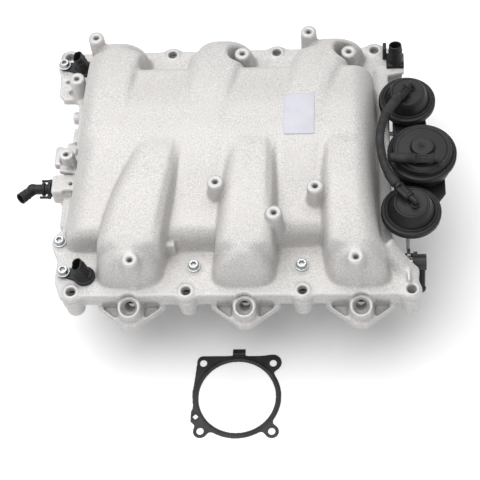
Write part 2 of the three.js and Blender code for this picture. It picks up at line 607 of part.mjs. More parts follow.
function rearSensor() {
  const [x, y] = [161, 122];
  const base = join(
    box(x - 8.5, x + 9, y - 8, y + 9, FLANGE_Z + GAP, FLANGE_Z + 5),
    box(x - 12, x - 8, y + 3, y + 12, FLANGE_Z + GAP, 113),
    box(x - 12, x - 6, y + 3, y + 9, FLANGE_Z + GAP, FLANGE_Z + 4),
  );
  const socket = taper([x + 1, y - 1, FLANGE_Z + 3], [x, y + 4, 119], 7.6, 6.6, 18);
  const mouth = rod([x + 0.5, y + 1, 108], [x, y + 4.6, 122], 5.2, 14);
  return cut(join(base, socket), mouth);
}
function elbowFitting() {
  const [y, z] = [-18.5, 88];
  const start = [-158.6, y, z];
  const bend = [-192, y, z];
  const end = [-203, y - 14, z + 1];
  const body = join(
    rod(start, bend, 5.2, 12),
    solidOf(new THREE.SphereGeometry(5.6, 8, 6).translate(...bend)),
    rod(bend, end, 5.8, 12),
    crosswise(-176, -172.4, y, z, 8.2, 12),
    box(-176, -172.6, y - 10.5, y + 10.5, z - 2.4, z + 2.4),
    crosswise(-182, -179, y, z, 7.2, 12),
  );
  const far = [end[0] - 2, end[1] - 2.6, end[2]];
  return cut(body, rod([-157, y, z], bend, 3.4, 12), rod(bend, far, 4.4, 12));
}
function throttleGasket(x, y) {
  const shape = new THREE.Shape();
  const [bx, by] = THROTTLE_BOLTS;
  const ear = 8;
  const ring = 42.5;
  const corner = (cx, cy, a0, a1) => shape.absarc(x + cx, y + cy, ear, a0, a1, false);
  shape.moveTo(x + bx, y - by - ear);
  corner(bx, -by, -Math.PI / 2, 0.2);
  shape.absarc(x, y, ring, -0.42, 0.42, false);
  corner(bx, by, -0.2, Math.PI / 2);
  shape.lineTo(x + 5, y + by + ear);
  shape.lineTo(x + 5, y + by + ear + 5);
  shape.lineTo(x - 8, y + by + ear + 5);
  shape.lineTo(x - 8, y + by + ear);
  corner(-bx, by, Math.PI / 2, Math.PI);
  corner(-bx, -by, Math.PI, 1.5 * Math.PI);
  const hole = (cx, cy, r) => {
    const path = new THREE.Path();
    path.absarc(x + cx, y + cy, r, 0, 2 * Math.PI, true);
    shape.holes.push(path);
  };
  hole(0, 0, THROTTLE_R);
  for (const a of [-1, 1]) for (const b of [-1, 1]) hole(a * bx, b * by, 3.4);
  return extruded(shape, 0, 1.2, 5);
}
function portGasket(bank) {
  const y = bank.side * PORT_Y;
  const top = PORT_FACE_Z - GAP;
  const bottom = top - 1.2;
  const [halfX, halfY] = PORT_SIZE.map((size) => size / 2);
  const loop = (x, out, r) => roundedShape(x - halfX - out, x + halfX + out, y - halfY - out, y + halfY + out, r);
  const rings = bank.ports.map((x) => {
    const ring = loop(x, 4.5, 6);
    ring.holes.push(loop(x, 1, 3));
    return extruded(ring, bottom, top, 2);
  });
  const strips = bank.ports.slice(1).map((x, i) => box(bank.ports[i] + 25, x - 25, y - 3, y + 3, bottom, top));
  return join(rings, strips);
}
function blankLabel() {
  const { x, y, halfWidth, halfLength, thick } = LABEL;
  const z = FLANGE_Z + CROWN + GAP;
  return box(x - halfWidth, x + halfWidth, y - halfLength, y + halfLength, z, z + thick);
}

// ---------------------------------------------------------------- assembly
addPiece("upper_shell", upperShell(), castAlloy);
addPiece("lower_shell", lowerShell(), castAlloy);
addPiece("shell_seal", frameRing(SEAL.x0, SEAL.x1, -SEAL.y, SEAL.y, SEAL.width, 89.1, 89.7), darkRubber);
addPiece("runner_insert", runnerInsert(), insertPlastic);

addPiece("changeover_shaft", crosswise(-138.8, 173.6, CHANGEOVER_Y, CHANGEOVER_Z, SHAFT_R, 14), bareSteel);
changeoverFlaps.forEach((x, i) =>
  addPiece(`changeover_flap_${i + 1}`, flap(x, CHANGEOVER_Y, CHANGEOVER_Z, 33, 17), insertPlastic));
addPiece("changeover_bush", bush(142.6, CHANGEOVER_Y, CHANGEOVER_Z), bronze);

for (const bank of banks) {
  const y = bank.side * TUMBLE_Y;
  const [left, right] = tumbleBushes(bank);
  addPiece(`tumble_shaft_${bank.name}`, crosswise(left, 179, y, TUMBLE_Z, SHAFT_R, 14), bareSteel);
  bank.ports.forEach((x, i) =>
    addPiece(`tumble_flap_${bank.name}_${i + 1}`, flap(x, y, TUMBLE_Z, 36, 12.5), insertPlastic));
  addPiece(`tumble_bush_${bank.name}_left`, bush(left, y, TUMBLE_Z), bronze);
  addPiece(`tumble_bush_${bank.name}_right`, bush(right, y, TUMBLE_Z), bronze);
}
for (const a of actuators) {
  addPiece(`actuator_base_${a.name}`, actuatorBase(a), blackPlastic);
  addPiece(`actuator_cap_${a.name}`, actuatorCap(a), blackPlastic);
  addPiece(`actuator_rod_${a.name}`, actuatorRod(a), bareSteel);
  addPiece(`actuator_spring_${a.name}`, returnSpring(a), bareSteel);
  addPiece(`lever_${a.name}`, lever(a), blackPlastic);
}
addPiece("actuator_bracket", actuatorBracket(), blackPlastic);
bracketScrews.forEach(([y, z], i) => addPiece(`bracket_screw_${i + 1}`, endScrew(y, z), zincSteel));

addPiece("vacuum_hose", bar(hoseRoute, 4.2, 8, 20), darkRubber);
addPiece("vacuum_connector_rear", nippleConnector(actuators[2], [161.2, 49.2, 133.2]), blackPlastic);
addPiece("vacuum_connector_front", nippleConnector(actuators[0], [157.4, -49, 133]), blackPlastic);
addPiece("changeover_hose_elbow", largeHoseElbow(), darkRubber);

for (const s of sensorSeats) {
  addPiece(`position_sensor_${s.name}`, positionSensor(s), blackPlastic);
  addPiece(`sensor_screw_${s.name}`, capScrew(...s.screw, SENSOR_Z + 3.6 + GAP, 6), zincSteel);
}
addPiece("rear_sensor", rearSensor(), blackPlastic);
addPiece("elbow_fitting", elbowFitting(), blackPlastic);
for (const [name, x, y] of shellScrews)
  addPiece(`shell_screw_${name}`, capScrew(x, y, FLANGE_Z + 1.5 + GAP, 16), zincSteel);
addPiece("throttle_gasket", throttleGasket(...GASKET_AT), blackCoating);
for (const bank of banks) addPiece(`port_gasket_${bank.name}`, portGasket(bank), darkRubber);
addPiece("blank_label", blankLabel(), labelFilm);

export default manifold;
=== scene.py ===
"""Visual model of a cast V6 intake manifold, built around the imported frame.

The two shells and the moulded parts are worked out as distance fields on a fine grid, so that ribs,
bosses and walls flow into each other with the radii of a real casting. Lengths are in millimetres
until a mesh is made.
"""
import json
from math import cos, hypot, pi, radians, sin, sqrt

import bmesh
import bpy
import numpy as np
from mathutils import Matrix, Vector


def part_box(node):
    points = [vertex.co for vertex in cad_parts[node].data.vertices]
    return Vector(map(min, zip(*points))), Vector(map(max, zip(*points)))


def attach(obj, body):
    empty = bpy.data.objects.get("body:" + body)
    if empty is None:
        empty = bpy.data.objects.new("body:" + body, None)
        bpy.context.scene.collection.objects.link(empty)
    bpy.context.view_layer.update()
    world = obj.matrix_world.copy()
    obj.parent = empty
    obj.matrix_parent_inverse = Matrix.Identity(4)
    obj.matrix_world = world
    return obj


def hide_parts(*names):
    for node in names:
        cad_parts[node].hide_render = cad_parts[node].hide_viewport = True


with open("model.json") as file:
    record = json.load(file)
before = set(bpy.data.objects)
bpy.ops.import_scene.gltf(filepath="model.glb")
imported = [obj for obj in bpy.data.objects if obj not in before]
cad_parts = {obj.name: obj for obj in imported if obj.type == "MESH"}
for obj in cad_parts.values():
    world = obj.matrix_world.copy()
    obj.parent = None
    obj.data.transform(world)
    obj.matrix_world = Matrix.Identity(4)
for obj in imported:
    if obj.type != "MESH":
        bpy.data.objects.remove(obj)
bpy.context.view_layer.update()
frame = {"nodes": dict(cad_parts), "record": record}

import openvdb
from mathutils import Matrix, Vector

# ------------------------------------------------------------------ driving dimensions, millimetres
MM = 0.001
FLANGE_TOP = 95.0
PARTING = 89.9  # where the two shells meet
LOWER_TOP = 89.3
SKIRT = 76.0  # underside of the lower shell's rim
PORT_FACE = 64.0
CROWN = 54.0  # runner crowns above the flange
BLIND = 29.0  # the same at a runner's closed end
WALL = 4.5
BOLT_HOLE_R = 4.2
COLLAR_R = 7.6
TAPPED_HOLE_R = 2.5  # M6, in the cover bosses
SCREW_HOLE_R = 3.4  # through both shells
THROTTLE_R = 36.5
RIGHT_WALL_X = 141.5
UP = np.array((0, 0, 1))

# grids for the distance fields
SHELL_CELL = 1.15
BRACKET_CELL = 0.9
GASKET_CELL = 0.5
FINE_CELL = 0.45
HOSE_ELBOW_CELL = 0.42
PLUG_CELL = 0.4
SCREW_CELL = 0.25


def box_mm(node):
    """A CAD node's lowest and highest corners."""
    low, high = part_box(node)
    return np.array(low) / MM, np.array(high) / MM


def seats(prefix, offset):
    """Centres of the round seats whose mounts were put this far beside the hole."""
    rows = [m for m in frame["record"]["mounts"] if m["name"].startswith(prefix)]
    return [(p[0] / MM - offset, p[1] / MM, p[2] / MM) for p in (m["pos_m"] for m in rows)]


FRONT, REAR = -1, 1  # the two banks, as the sign of Y
HEAD_BOLTS = seats("head_bolt_seat", 5.8)
BOSSES = seats("cover_boss", 4.9)
BOLT_TO_PORT = 52.8  # each port lies this far to the right of a head bolt
LAST_BOLTS = 120.0  # the bolts beyond this have no port to their right
PORTS = [(x + BOLT_TO_PORT, FRONT if y < 0 else REAR) for x, y, _ in HEAD_BOLTS if x < LAST_BOLTS]

# ------------------------------------------------------------------ materials


class Nodes:
    """A small builder for node materials: each call adds a node and returns its first output."""

    def __init__(self, name):
        self.material = bpy.data.materials.new(name)
        self.material.use_nodes = True
        self.tree = self.material.node_tree
        self.surface = self.tree.nodes["Principled BSDF"]
        self.place = self.tree.nodes.new("ShaderNodeTexCoord").outputs["Object"]

    def link(self, value, socket):
        if isinstance(value, bpy.types.NodeSocket):
            self.tree.links.new(value, socket)
        else:
            socket.default_value = value

    def noise(self, size_mm, detail=3.0, roughness=0.55, stretch=(1, 1, 1)):
        turn = self.tree.nodes.new("ShaderNodeMapping")
        turn.inputs["Scale"].default_value = stretch
        self.link(self.place, turn.inputs["Vector"])
        node = self.tree.nodes.new("ShaderNodeTexNoise")
        node.inputs["Scale"].default_value = 1 / (size_mm * MM)
        node.inputs["Detail"].default_value = detail
        node.inputs["Roughness"].default_value = roughness
        self.link(turn.outputs[0], node.inputs["Vector"])
        return node.outputs["Fac"]

    def cells(self, size_mm):
        node = self.tree.nodes.new("ShaderNodeTexVoronoi")
        node.inputs["Scale"].default_value = 1 / (size_mm * MM)
        self.link(self.place, node.inputs["Vector"])
        return node.outputs["Distance"]

    def ramp(self, value, *stops):
        node = self.tree.nodes.new("ShaderNodeValToRGB")
        marks = node.color_ramp.elements
        while len(marks) < len(stops):
            marks.new(0.5)
        for mark, (position, shade) in zip(marks, stops):
            mark.position = position
            mark.color = (*shade, 1) if isinstance(shade, tuple) else (shade, shade, shade, 1)
        self.link(value, node.inputs["Fac"])
        return node.outputs["Color"]

    def spread(self, value, low, high):
        """The usual ramp for a noise, whose values gather round the middle."""
        return self.ramp(value, (0.3, low), (0.7, high))

    def mix(self, factor, a, b):
        node = self.tree.nodes.new("ShaderNodeMix")
        node.data_type = "RGBA"
        self.link(factor, node.inputs["Factor"])
        for value, socket in ((a, node.inputs[6]), (b, node.inputs[7])):
            self.link((*value, 1) if isinstance(value, tuple) else value, socket)
        return node.outputs[2]

    def sum(self, a, b, weight):
        node = self.tree.nodes.new("ShaderNodeMath")
        node.operation = "MULTIPLY_ADD"
        self.link(b, node.inputs[0])
        self.link(weight, node.inputs[1])
        self.link(a, node.inputs[2])
        return node.outputs[0]

    def edges(self):
        """How sharply the surface turns: high on edges, low in corners."""
        return self.tree.nodes.new("ShaderNodeNewGeometry").outputs["Pointiness"]

    def bump(self, height, depth_mm):
        node = self.tree.nodes.new("ShaderNodeBump")
        node.inputs["Strength"].default_value = 1.0
        node.inputs["Distance"].default_value = depth_mm * MM
        self.link(height, node.inputs["Height"])
        self.link(node.outputs[0], self.surface.inputs["Normal"])

    def finish(self, color, roughness, metallic=0.0, **more):
        self.link((*color, 1) if isinstance(color, tuple) else color, self.surface.inputs["Base Color"])
        self.link(roughness, self.surface.inputs["Roughness"])
        self.surface.inputs["Metallic"].default_value = metallic
        for name, value in more.items():
            self.surface.inputs[name.replace("_", " ")].default_value = value
        return self.material


def cast_alloy():
    """Blasted sand casting: fine grain, cloudy tone, painted highlight on edges and painted shade in corners.
    """
    n = Nodes("cast_alloy")
    grain = n.noise(1.3, 3, 0.7)
    cloud = n.noise(34, 2)
    pits = n.cells(2.6)
    tone = n.ramp(grain, (0.32, (0.37, 0.356, 0.346)), (0.68, (0.65, 0.638, 0.628)))
    tone = n.mix(n.ramp(cloud, (0.35, 0.0), (0.7, 0.35)), tone, (0.53, 0.515, 0.50))
    # painted highlight: convex edges are made lighter, standing in for light catching them
    tone = n.mix(n.ramp(n.edges(), (0.505, 0.0), (0.56, 0.6)), tone, (0.74, 0.735, 0.73))
    # painted shade: concave corners and creases are made darker, where shade falls
    tone = n.mix(n.ramp(n.edges(), (0.44, 0.5), (0.495, 0.0)), tone, (0.28, 0.27, 0.26))
    rough = n.spread(grain, 0.52, 0.66)
    n.bump(n.sum(grain, pits, 0.35), 0.34)
    return n.finish(tone, rough, 0.4)


def machined_face():
    """Turned seat faces: bright, with a fine tool pattern."""
    n = Nodes("machined_face")
    marks = n.noise(0.5, 2, 0.6, (1, 6, 1))
    tone = n.spread(marks, (0.40, 0.395, 0.39), (0.52, 0.52, 0.52))
    n.bump(marks, 0.03)
    return n.finish(tone, n.spread(marks, 0.42, 0.55), 0.5)


def black_plastic(name="black_plastic", shade=0.009, rough=(0.38, 0.5)):
    """Glass-filled nylon: satin, faint mould texture, and a painted highlight that makes edges a little
    lighter.
    """
    n = Nodes(name)
    skin = n.noise(0.9, 2, 0.6)
    cloud = n.noise(14, 2)
    tone = n.spread(cloud, (shade, shade, shade * 1.12), (shade * 1.6, shade * 1.6, shade * 1.8))
    # painted highlight: convex edges are made a little lighter, standing in for light catching them
    tone = n.mix(n.ramp(n.edges(), (0.51, 0.0), (0.6, 0.5)), tone, (0.05, 0.05, 0.054))
    n.bump(skin, 0.07)
    return n.finish(tone, n.spread(skin, rough[0], rough[1]), Specular_IOR_Level=0.3)


def rubber():
    """Moulded hose rubber: matt, with a dusty bloom."""
    n = Nodes("rubber")
    skin = n.noise(0.5, 3, 0.6)
    bloom = n.noise(9, 2)
    tone = n.ramp(bloom, (0.35, (0.014, 0.014, 0.015)), (0.75, (0.034, 0.034, 0.036)))
    n.bump(skin, 0.05)
    return n.finish(tone, n.spread(skin, 0.6, 0.78), Specular_IOR_Level=0.3)


def zinc_steel():
    """Zinc plate on a forged screw, with light handling marks."""
    n = Nodes("zinc_steel")
    skin = n.noise(0.7, 3, 0.6)
    tone = n.spread(n.noise(4, 2), (0.38, 0.395, 0.40), (0.56, 0.58, 0.585))
    # painted shade: concave corners and the socket's recesses are made darker, where shade falls
    tone = n.mix(n.ramp(n.edges(), (0.45, 0.55), (0.5, 0.0)), tone, (0.10, 0.10, 0.10))
    n.bump(skin, 0.03)
    return n.finish(tone, n.spread(skin, 0.24, 0.4), 0.9)


def bare_steel():
    """Drawn wire and ground bar: fine lines along the length."""
    n = Nodes("bare_steel")
    lines = n.noise(0.6, 2, 0.6, (0.1, 1, 1))
    tone = n.spread(lines, (0.30, 0.30, 0.31), (0.50, 0.51, 0.52))
    n.bump(lines, 0.02)
    return n.finish(tone, n.spread(lines, 0.28, 0.45), 0.9)


def bronze():
    """Sintered bush: open pores and oil stains."""
    n = Nodes("bronze")
    pores = n.cells(0.5)
    tone = n.spread(n.noise(3, 2), (0.36, 0.24, 0.12), (0.52, 0.37, 0.2))
    n.bump(pores, 0.04)
    return n.finish(tone, n.ramp(pores, (0.1, 0.6), (0.5, 0.38)), 0.85)


def coated_steel():
    """Gasket sheet: thin satin black coat, with a painted highlight along the bead's crest and other edges.
    """
    n = Nodes("coated_steel")
    skin = n.noise(0.8, 3, 0.6)
    tone = n.spread(n.noise(12, 2), (0.012, 0.012, 0.013), (0.025, 0.025, 0.027))
    # painted highlight: convex edges and the bead's crest are made lighter, standing in for light catching
    # them
    tone = n.mix(n.ramp(n.edges(), (0.52, 0.0), (0.62, 0.6)), tone, (0.11, 0.11, 0.115))
    n.bump(skin, 0.03)
    return n.finish(tone, n.spread(skin, 0.36, 0.5), Specular_IOR_Level=0.3)


def label_film():
    """Blank satin film with a faint paper weave."""
    n = Nodes("label_film")
    weave = n.noise(0.6, 2, 0.5)
    tone = n.spread(n.noise(16, 2), (0.44, 0.44, 0.49), (0.48, 0.48, 0.53))
    n.bump(weave, 0.02)
    return n.finish(tone, n.spread(weave, 0.42, 0.55))


MATERIALS = {
    "cast_alloy": cast_alloy(),
    "black_plastic": black_plastic(),
    "inner_plastic": black_plastic("inner_plastic", 0.03, (0.5, 0.65)),
    "rubber": rubber(),
    "zinc_steel": zinc_steel(),
    "bare_steel": bare_steel(),
    "bronze": bronze(),
    "coated_steel": coated_steel(),
    "label_film": label_film(),
}
MACHINED = machined_face()

# ------------------------------------------------------------------ distance fields


def smooth_min(a, b, radius):
    """The lesser of two distances, with a fillet where they meet."""
    if radius <= 0:
        return np.minimum(a, b)
    h = np.clip(0.5 + 0.5 * (b - a) / radius, 0, 1)
    return b + (a - b) * h - radius * h * (1 - h)


def rounded(side, end, edge):
    """Distance to a shape from its distances to a side wall and to an end face, with a rounded edge."""
    a, b = side + edge, end + edge
    return np.minimum(np.maximum(a, b), 0) + np.hypot(np.maximum(a, 0), np.maximum(b, 0)) - edge


def slab(x0, x1, y0, y1, z0, z1, edge=0.8):
    def distance(x, y, z):
        spans = ((x, x0, x1), (y, y0, y1), (z, z0, z1))
        q = [np.abs(v - (a + b) / 2) - (b - a) / 2 + edge for v, a, b in spans]
        outside = np.sqrt(sum(np.maximum(v, 0) ** 2 for v in q))
        return outside + np.minimum(np.maximum(np.maximum(q[0], q[1]), q[2]), 0) - edge

    return (x0, y0, z0), (x1, y1, z1), distance


def cone(a, b, ra, rb=None, edge=0.6):
    """A round bar from a to b, flat at both ends, with a radius at each end."""
    rb = ra if rb is None else rb
    a, b = np.array(a, float), np.array(b, float)
    length = np.linalg.norm(b - a)
    u = (b - a) / length
    reach = max(ra, rb)

    def distance(x, y, z):
        px, py, pz = x - a[0], y - a[1], z - a[2]
        t = px * u[0] + py * u[1] + pz * u[2]
        out = np.sqrt(np.maximum(px * px + py * py + pz * pz - t * t, 0))
        radius = ra + (rb - ra) * np.clip(t / length, 0, 1)
        slope = length / sqrt(length**2 + (rb - ra) ** 2)
        return rounded((out - radius) * slope, np.abs(t - length / 2) - length / 2, edge)

    return tuple(np.minimum(a, b) - reach), tuple(np.maximum(a, b) + reach), distance


def post(x, y, z0, z1, r0, r1=None, edge=0.6):
    return cone((x, y, z0), (x, y, z1), r0, r1, edge)


def bore(a, b, ra, rb=None):
    """A round cutter with sharp ends."""
    return cone(a, b, ra, rb, 0)


def hole(x, y, z0, z1, r0, r1=None):
    """The same, upright."""
    return post(x, y, z0, z1, r0, r1, 0)


def ball(centre, r):
    cx, cy, cz = centre

    def distance(x, y, z):
        return np.sqrt((x - cx) ** 2 + (y - cy) ** 2 + (z - cz) ** 2) - r

    return (cx - r, cy - r, cz - r), (cx + r, cy + r, cz + r), distance


def ring(centre, r, thick, axis=2):
    """A round ring whose own axis is X, Y or Z."""
    c = np.array(centre, float)

    def distance(x, y, z):
        p = [x - c[0], y - c[1], z - c[2]]
        along = p.pop(axis)
        return np.hypot(np.hypot(*p) - r, along) - thick

    reach = np.full(3, r + thick)
    return tuple(c - reach), tuple(c + reach), distance


def outline_distance(points, x, y):
    """Distance to a closed outline in a plane, negative inside."""
    best, inside = None, np.zeros(np.broadcast(x, y).shape, bool)
    for (ax, ay), (bx, by) in zip(points, points[1:] + points[:1]):
        ex, ey = bx - ax, by - ay
        t = np.clip(((x - ax) * ex + (y - ay) * ey) / (ex * ex + ey * ey), 0, 1)
        d = np.hypot(x - ax - t * ex, y - ay - t * ey)
        best = d if best is None else np.minimum(best, d)
        if ay != by:
            inside ^= ((ay > y) != (by > y)) & (x < ex * (y - ay) / (by - ay) + ax)
    return np.where(inside, -best, best)


def prism(points, z0, z1, corner=0.0, edge=0.8, axis="z"):
    """A plate with this outline and rounded corners, square to the axis; z0 and z1 lie along it."""
    flat = np.array(points, float)
    lo, hi = flat.min(0) - corner, flat.max(0) + corner
    place = "xyz".index(axis)

    def distance(x, y, z):
        u, v = [c for i, c in enumerate((x, y, z)) if i != place]
        through = (x, y, z)[place]
        side = outline_distance(points, u, v) - corner
        return rounded(side, np.abs(through - (z0 + z1) / 2) - (z1 - z0) / 2, edge)

    return tuple(np.insert(lo, place, z0)), tuple(np.insert(hi, place, z1)), distance


def rectangle(x0, x1, y0, y1):
    return [(x0, y0), (x1, y0), (x1, y1), (x0, y1)]


class Solid:
    """A distance field on a grid of cubes, negative inside, that shapes are added to and cut from."""

    FAR = 60.0

    def __init__(self, low, high, cell):
        self.cell = cell
        self.low = np.array(low, float) - 3 * cell
        self.size = np.ceil((np.array(high) + 3 * cell - self.low) / cell).astype(int) + 1
        self.field = np.full(self.size, self.FAR, np.float32)

    def near(self, low, high, margin):
        """The part of the grid round a box, and its coordinates."""
        a = np.floor((np.array(low) - margin - self.low) / self.cell).astype(int)
        b = np.ceil((np.array(high) + margin - self.low) / self.cell).astype(int) + 1
        a, b = np.clip(a, 0, self.size), np.clip(b, 0, self.size)
        steps = [self.low[k] + self.cell * np.arange(a[k], b[k]) for k in range(3)]
        x, y, z = (s.reshape([-1 if i == k else 1 for i in range(3)]) for k, s in enumerate(steps))
        return tuple(slice(a[k], b[k]) for k in range(3)), x, y, z

    def whole(self):
        return self.near(self.low, self.low + self.size * self.cell, 0)

    def add(self, *shapes, fillet=0.0):
        for low, high, distance in shapes:
            where, x, y, z = self.near(low, high, fillet + 3 * self.cell)
            self.field[where] = smooth_min(self.field[where], distance(x, y, z), fillet)
        return self

    def cut(self, *shapes, fillet=0.0):
        for low, high, distance in shapes:
            where, x, y, z = self.near(low, high, fillet + 3 * self.cell)
            self.field[where] = -smooth_min(-self.field[where], distance(x, y, z), fillet)
        return self

    def soften(self, times=1):
        """Averages the field along each axis, which eases every edge by about a cell."""
        for _ in range(times):
            for axis in range(3):
                f = np.moveaxis(self.field, axis, 0)
                f[1:-1] = (f[:-2] + 2 * f[1:-1] + f[2:]) / 4
        return self

    def mesh(self, name):
        """The surface as a Blender object."""
        grid = openvdb.FloatGrid()
        grid.background = self.FAR
        grid.copyFromArray(self.field)
        grid.transform = openvdb.createLinearTransform(voxelSize=self.cell * MM)
        grid.transform.postTranslate(tuple(self.low * MM))
        points, triangles, quads = grid.convertToPolygons(isovalue=0.0, adaptivity=0.0)
        data = bpy.data.meshes.new(name)
        faces = [f.tolist() for f in (triangles, quads) if len(f)]
        data.from_pydata(points.tolist(), [], [f for group in faces for f in group])
        data.shade_smooth()
        return link(name, data)


def link(name, data):
    ob = bpy.data.objects.new(name, data)
    bpy.context.scene.collection.objects.link(ob)
    return ob


BODY_OF = {n: body for body, nodes in frame["record"]["behaviour"]["bodies"].items() for n in nodes}
SLOT_OF = {s["node"]: s["material_slot"] for s in frame["record"]["subparts"]}


def stand_in(piece, node):
    """The piece takes the place of a CAD node: its body, its finish, and it hides the node."""
    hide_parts(node)
    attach(piece, BODY_OF[node])
    slot = SLOT_OF[node]
    piece.data.materials.append(MATERIALS[slot])


# ------------------------------------------------------------------ runner relief
STATIONS = (-130.0, -75.0, -20.0, 110.0)  # where centre lines, half widths and edges are given
PORT_END, PORT_BEND = 134.0, 20.0
DROOP = {FRONT: 17.0, REAR: 9.0}  # how far a runner has sunk where it bends down to its port
DROOP_START, DROOP_LENGTH = 45.0, 72.0
RISE_START, RISE_LENGTH = 14.0, 95.0  # a runner comes up out of the plateau over this stretch
PAD_CORNER = 3.6


def along(values, y):
    """The smooth curve through the values given at STATIONS."""
    t = np.clip(y, STATIONS[0] - 5, STATIONS[-1] + 25)
    total = 0
    for i, value in enumerate(values):
        weight = value
        for j, place in enumerate(STATIONS):
            if j != i:
                weight = weight * (t - place) / (STATIONS[i] - place)
        total = total + weight
    return total


def smooth_step(t):
    t = np.clip(t, 0, 1)
    return t * t * (3 - 2 * t)


def crest(distance, width):
    """The section of a raised line."""
    return np.exp(-((distance / width) ** 2))


def dome(across, ahead, corner, roundness):
    """1 in the middle of a pad and 0 at its outline, where either distance reaches 1."""
    reach = (np.clip(across, 0, 2) ** corner + np.clip(ahead, 0, 2) ** corner) ** (1 / corner)
    return np.clip(1 - reach**roundness, 0, 1) ** (1 / roundness)


class Runner:
    """The hump of one runner, from the port on its own bank to where the plateau swallows it."""

    def __init__(self, side, centre, half, left=3.8, right=6.5):
        self.side, self.centre, self.half = side, centre, half
        self.left, self.right = left, right  # how boxy each flank is

    def edge(self, y, hand):
        return along(self.centre, y) + hand * along(self.half, y)

    def height(self, x, y):
        forward = self.side * y
        across = (x - along(self.centre, y)) / along(self.half, y)
        ahead = 1 - (PORT_END - forward) / PORT_BEND
        flank = self.left + (self.right - self.left) * smooth_step(0.5 + across)
        roundness = 2.0 + (flank - 2.0) * smooth_step(-2 * ahead)
        level = CROWN - DROOP[self.side] * np.clip((forward - DROOP_START) / DROOP_LENGTH, 0, 1.3) ** 1.7
        risen = 1 - smooth_step((RISE_START - forward) / RISE_LENGTH)
        return level * risen * dome(np.abs(across), ahead, PAD_CORNER, roundness)


RUNNERS = [
    Runner(FRONT, (-88.0, -80.5, -67.5, -60.0), (29.5, 31.0, 26.0, 25.0)),
    Runner(FRONT, (17.0, 20.8, 22.5, 30.0), (29.0, 27.0, 25.5, 26.0)),
    Runner(FRONT, (123.8, 114.8, 113.0, 112.0), (29.0, 25.5, 25.5, 26.0), 5.0, 3.0),
    Runner(REAR, (-125.0, -120.0, -118.0, -114.0), (26.0, 26.0, 26.0, 29.0), 3.2, 8.0),
    Runner(REAR, (-29.0, -27.0, -25.0, -11.5), (26.0, 26.0, 26.0, 30.5), 4.0, 7.0),
    Runner(REAR, (69.0, 69.0, 69.0, 93.0), (25.0, 25.0, 25.0, 31.0), 4.2, 5.0),
]
LEFT_EDGE = (-152.0, -151.0, -146.0, -142.5)
FRONT_WALL, REAR_WALL = -95.5, 91.5
SINK = 104.0  # the closed ends of the rear runners sink over this length towards the front
REAR_DIP, REAR_DIP_START, REAR_DIP_LENGTH = 7.5, 30.0, 60.0
FRONT_BEND, REAR_BEND, LEFT_BEND, RIGHT_BEND = 14.0, 10.0, 30.0, 26.0  # how wide each wall's shoulder is


def plateau(x, y):
    """The closed ends: one level top at the rear, sinking in front between the front runners."""
    inward = y - FRONT_WALL - 4 * smooth_step((x - 20) / 60)
    level = BLIND + (CROWN - 0.6 - BLIND) * smooth_step(inward / SINK)
    level = level - REAR_DIP * smooth_step((y - REAR_DIP_START) / REAR_DIP_LENGTH)
    ends = np.maximum(1 - inward / FRONT_BEND, 1 - (REAR_WALL - y) / REAR_BEND)
    sides = np.maximum(1 - (x - along(LEFT_EDGE, y)) / LEFT_BEND, 1 - (RIGHT_WALL_X - x) / RIGHT_BEND)
    return level * dome(sides, ends, 3, 2.3)


GROOVES = [  # runner, hand, distances in from that edge, depth, and the length over which they show
    (RUNNERS[0], 1, (-0.5, 5.5), 1.5, (-105.0, 5.0)),
    (RUNNERS[1], 1, (-0.5, 6.0), 1.5, (-75.0, 5.0)),
    (RUNNERS[1], -1, (-1.5, 3.5), 0.8, (-45.0, 5.0)),
    (RUNNERS[2], -1, (-1.5, 4.0), 1.1, (-45.0, 5.0)),
]
GROOVE_WIDTH, GROOVE_FADE = 1.4, 20.0
VALLEY_R = 3.0


def relief(x, y):
    """Height of the runners over the flange."""
    best = plateau(x, y)
    for runner in RUNNERS:
        best = -smooth_min(-best, -runner.height(x, y), VALLEY_R)
    for runner, hand, insets, depth, (y0, y1) in GROOVES:
        fade = np.clip((y - y0) / GROOVE_FADE, 0, 1) * np.clip((y1 - y) / GROOVE_FADE, 0, 1)
        for inset in insets:
            line = x - runner.edge(y, hand) + hand * inset
            best = best - depth * fade * crest(line, GROOVE_WIDTH)
    return np.maximum(best, 0) * np.clip(best / 2, 0, 1)


def relief_distance(x, y, z):
    """Distance to the runners and the flat flange they stand on, near their surface."""
    top = relief(x, y)
    gx, gy = np.gradient(top[:, :, 0], SHELL_CELL)
    slope = np.sqrt(1 + gx**2 + gy**2)[:, :, None]
    return (z - FLANGE_TOP - top) / slope, top


def shrunk(height):
    """The lowest height within a wall's thickness of each place, so that steep flanks keep their wall."""
    lowest = height
    reach = int(np.ceil(WALL / SHELL_CELL))
    for i in range(-reach, reach + 1):
        for j in range(-reach, reach + 1):
            if i * i + j * j <= reach * reach:
                lowest = np.minimum(lowest, np.roll(height, (i, j), (0, 1)))
    return lowest


# ------------------------------------------------------------------ upper shell
EDGE_Y = 141.5  # front and rear edges of the flange
RIM = [
    (-150, -EDGE_Y), (174, -EDGE_Y), (174, -117), (166, -112), (157, -92), (153, -80), (153, 108), (169, 111),
    (169, EDGE_Y - 8), (150, EDGE_Y), (-176, EDGE_Y), (-176, 112), (-163, 96), (-153, 76), (-150, 20),
    (-150, -38), (-155, -44), (-155, -70), (-162, -78), (-162, -90), (-156, -104), (-156, -128),
]
SHELL_SCREWS = [box_mm(f"shell_screw_{n}") for n in ("left", "middle", "right")]
SHELL_SCREWS = [((lo[0] + hi[0]) / 2, (lo[1] + hi[1]) / 2) for lo, hi in SHELL_SCREWS]
SENSOR_SEATS = [(-129.5, -121.5, -149.0, -118.0), (-152.5, 121.0, -172.5, 124.6)]
SENSOR_Z = 96.0
SHOULDER_BOSSES = [BOSSES[3], BOSSES[5]]  # in a recess in a runner's shoulder
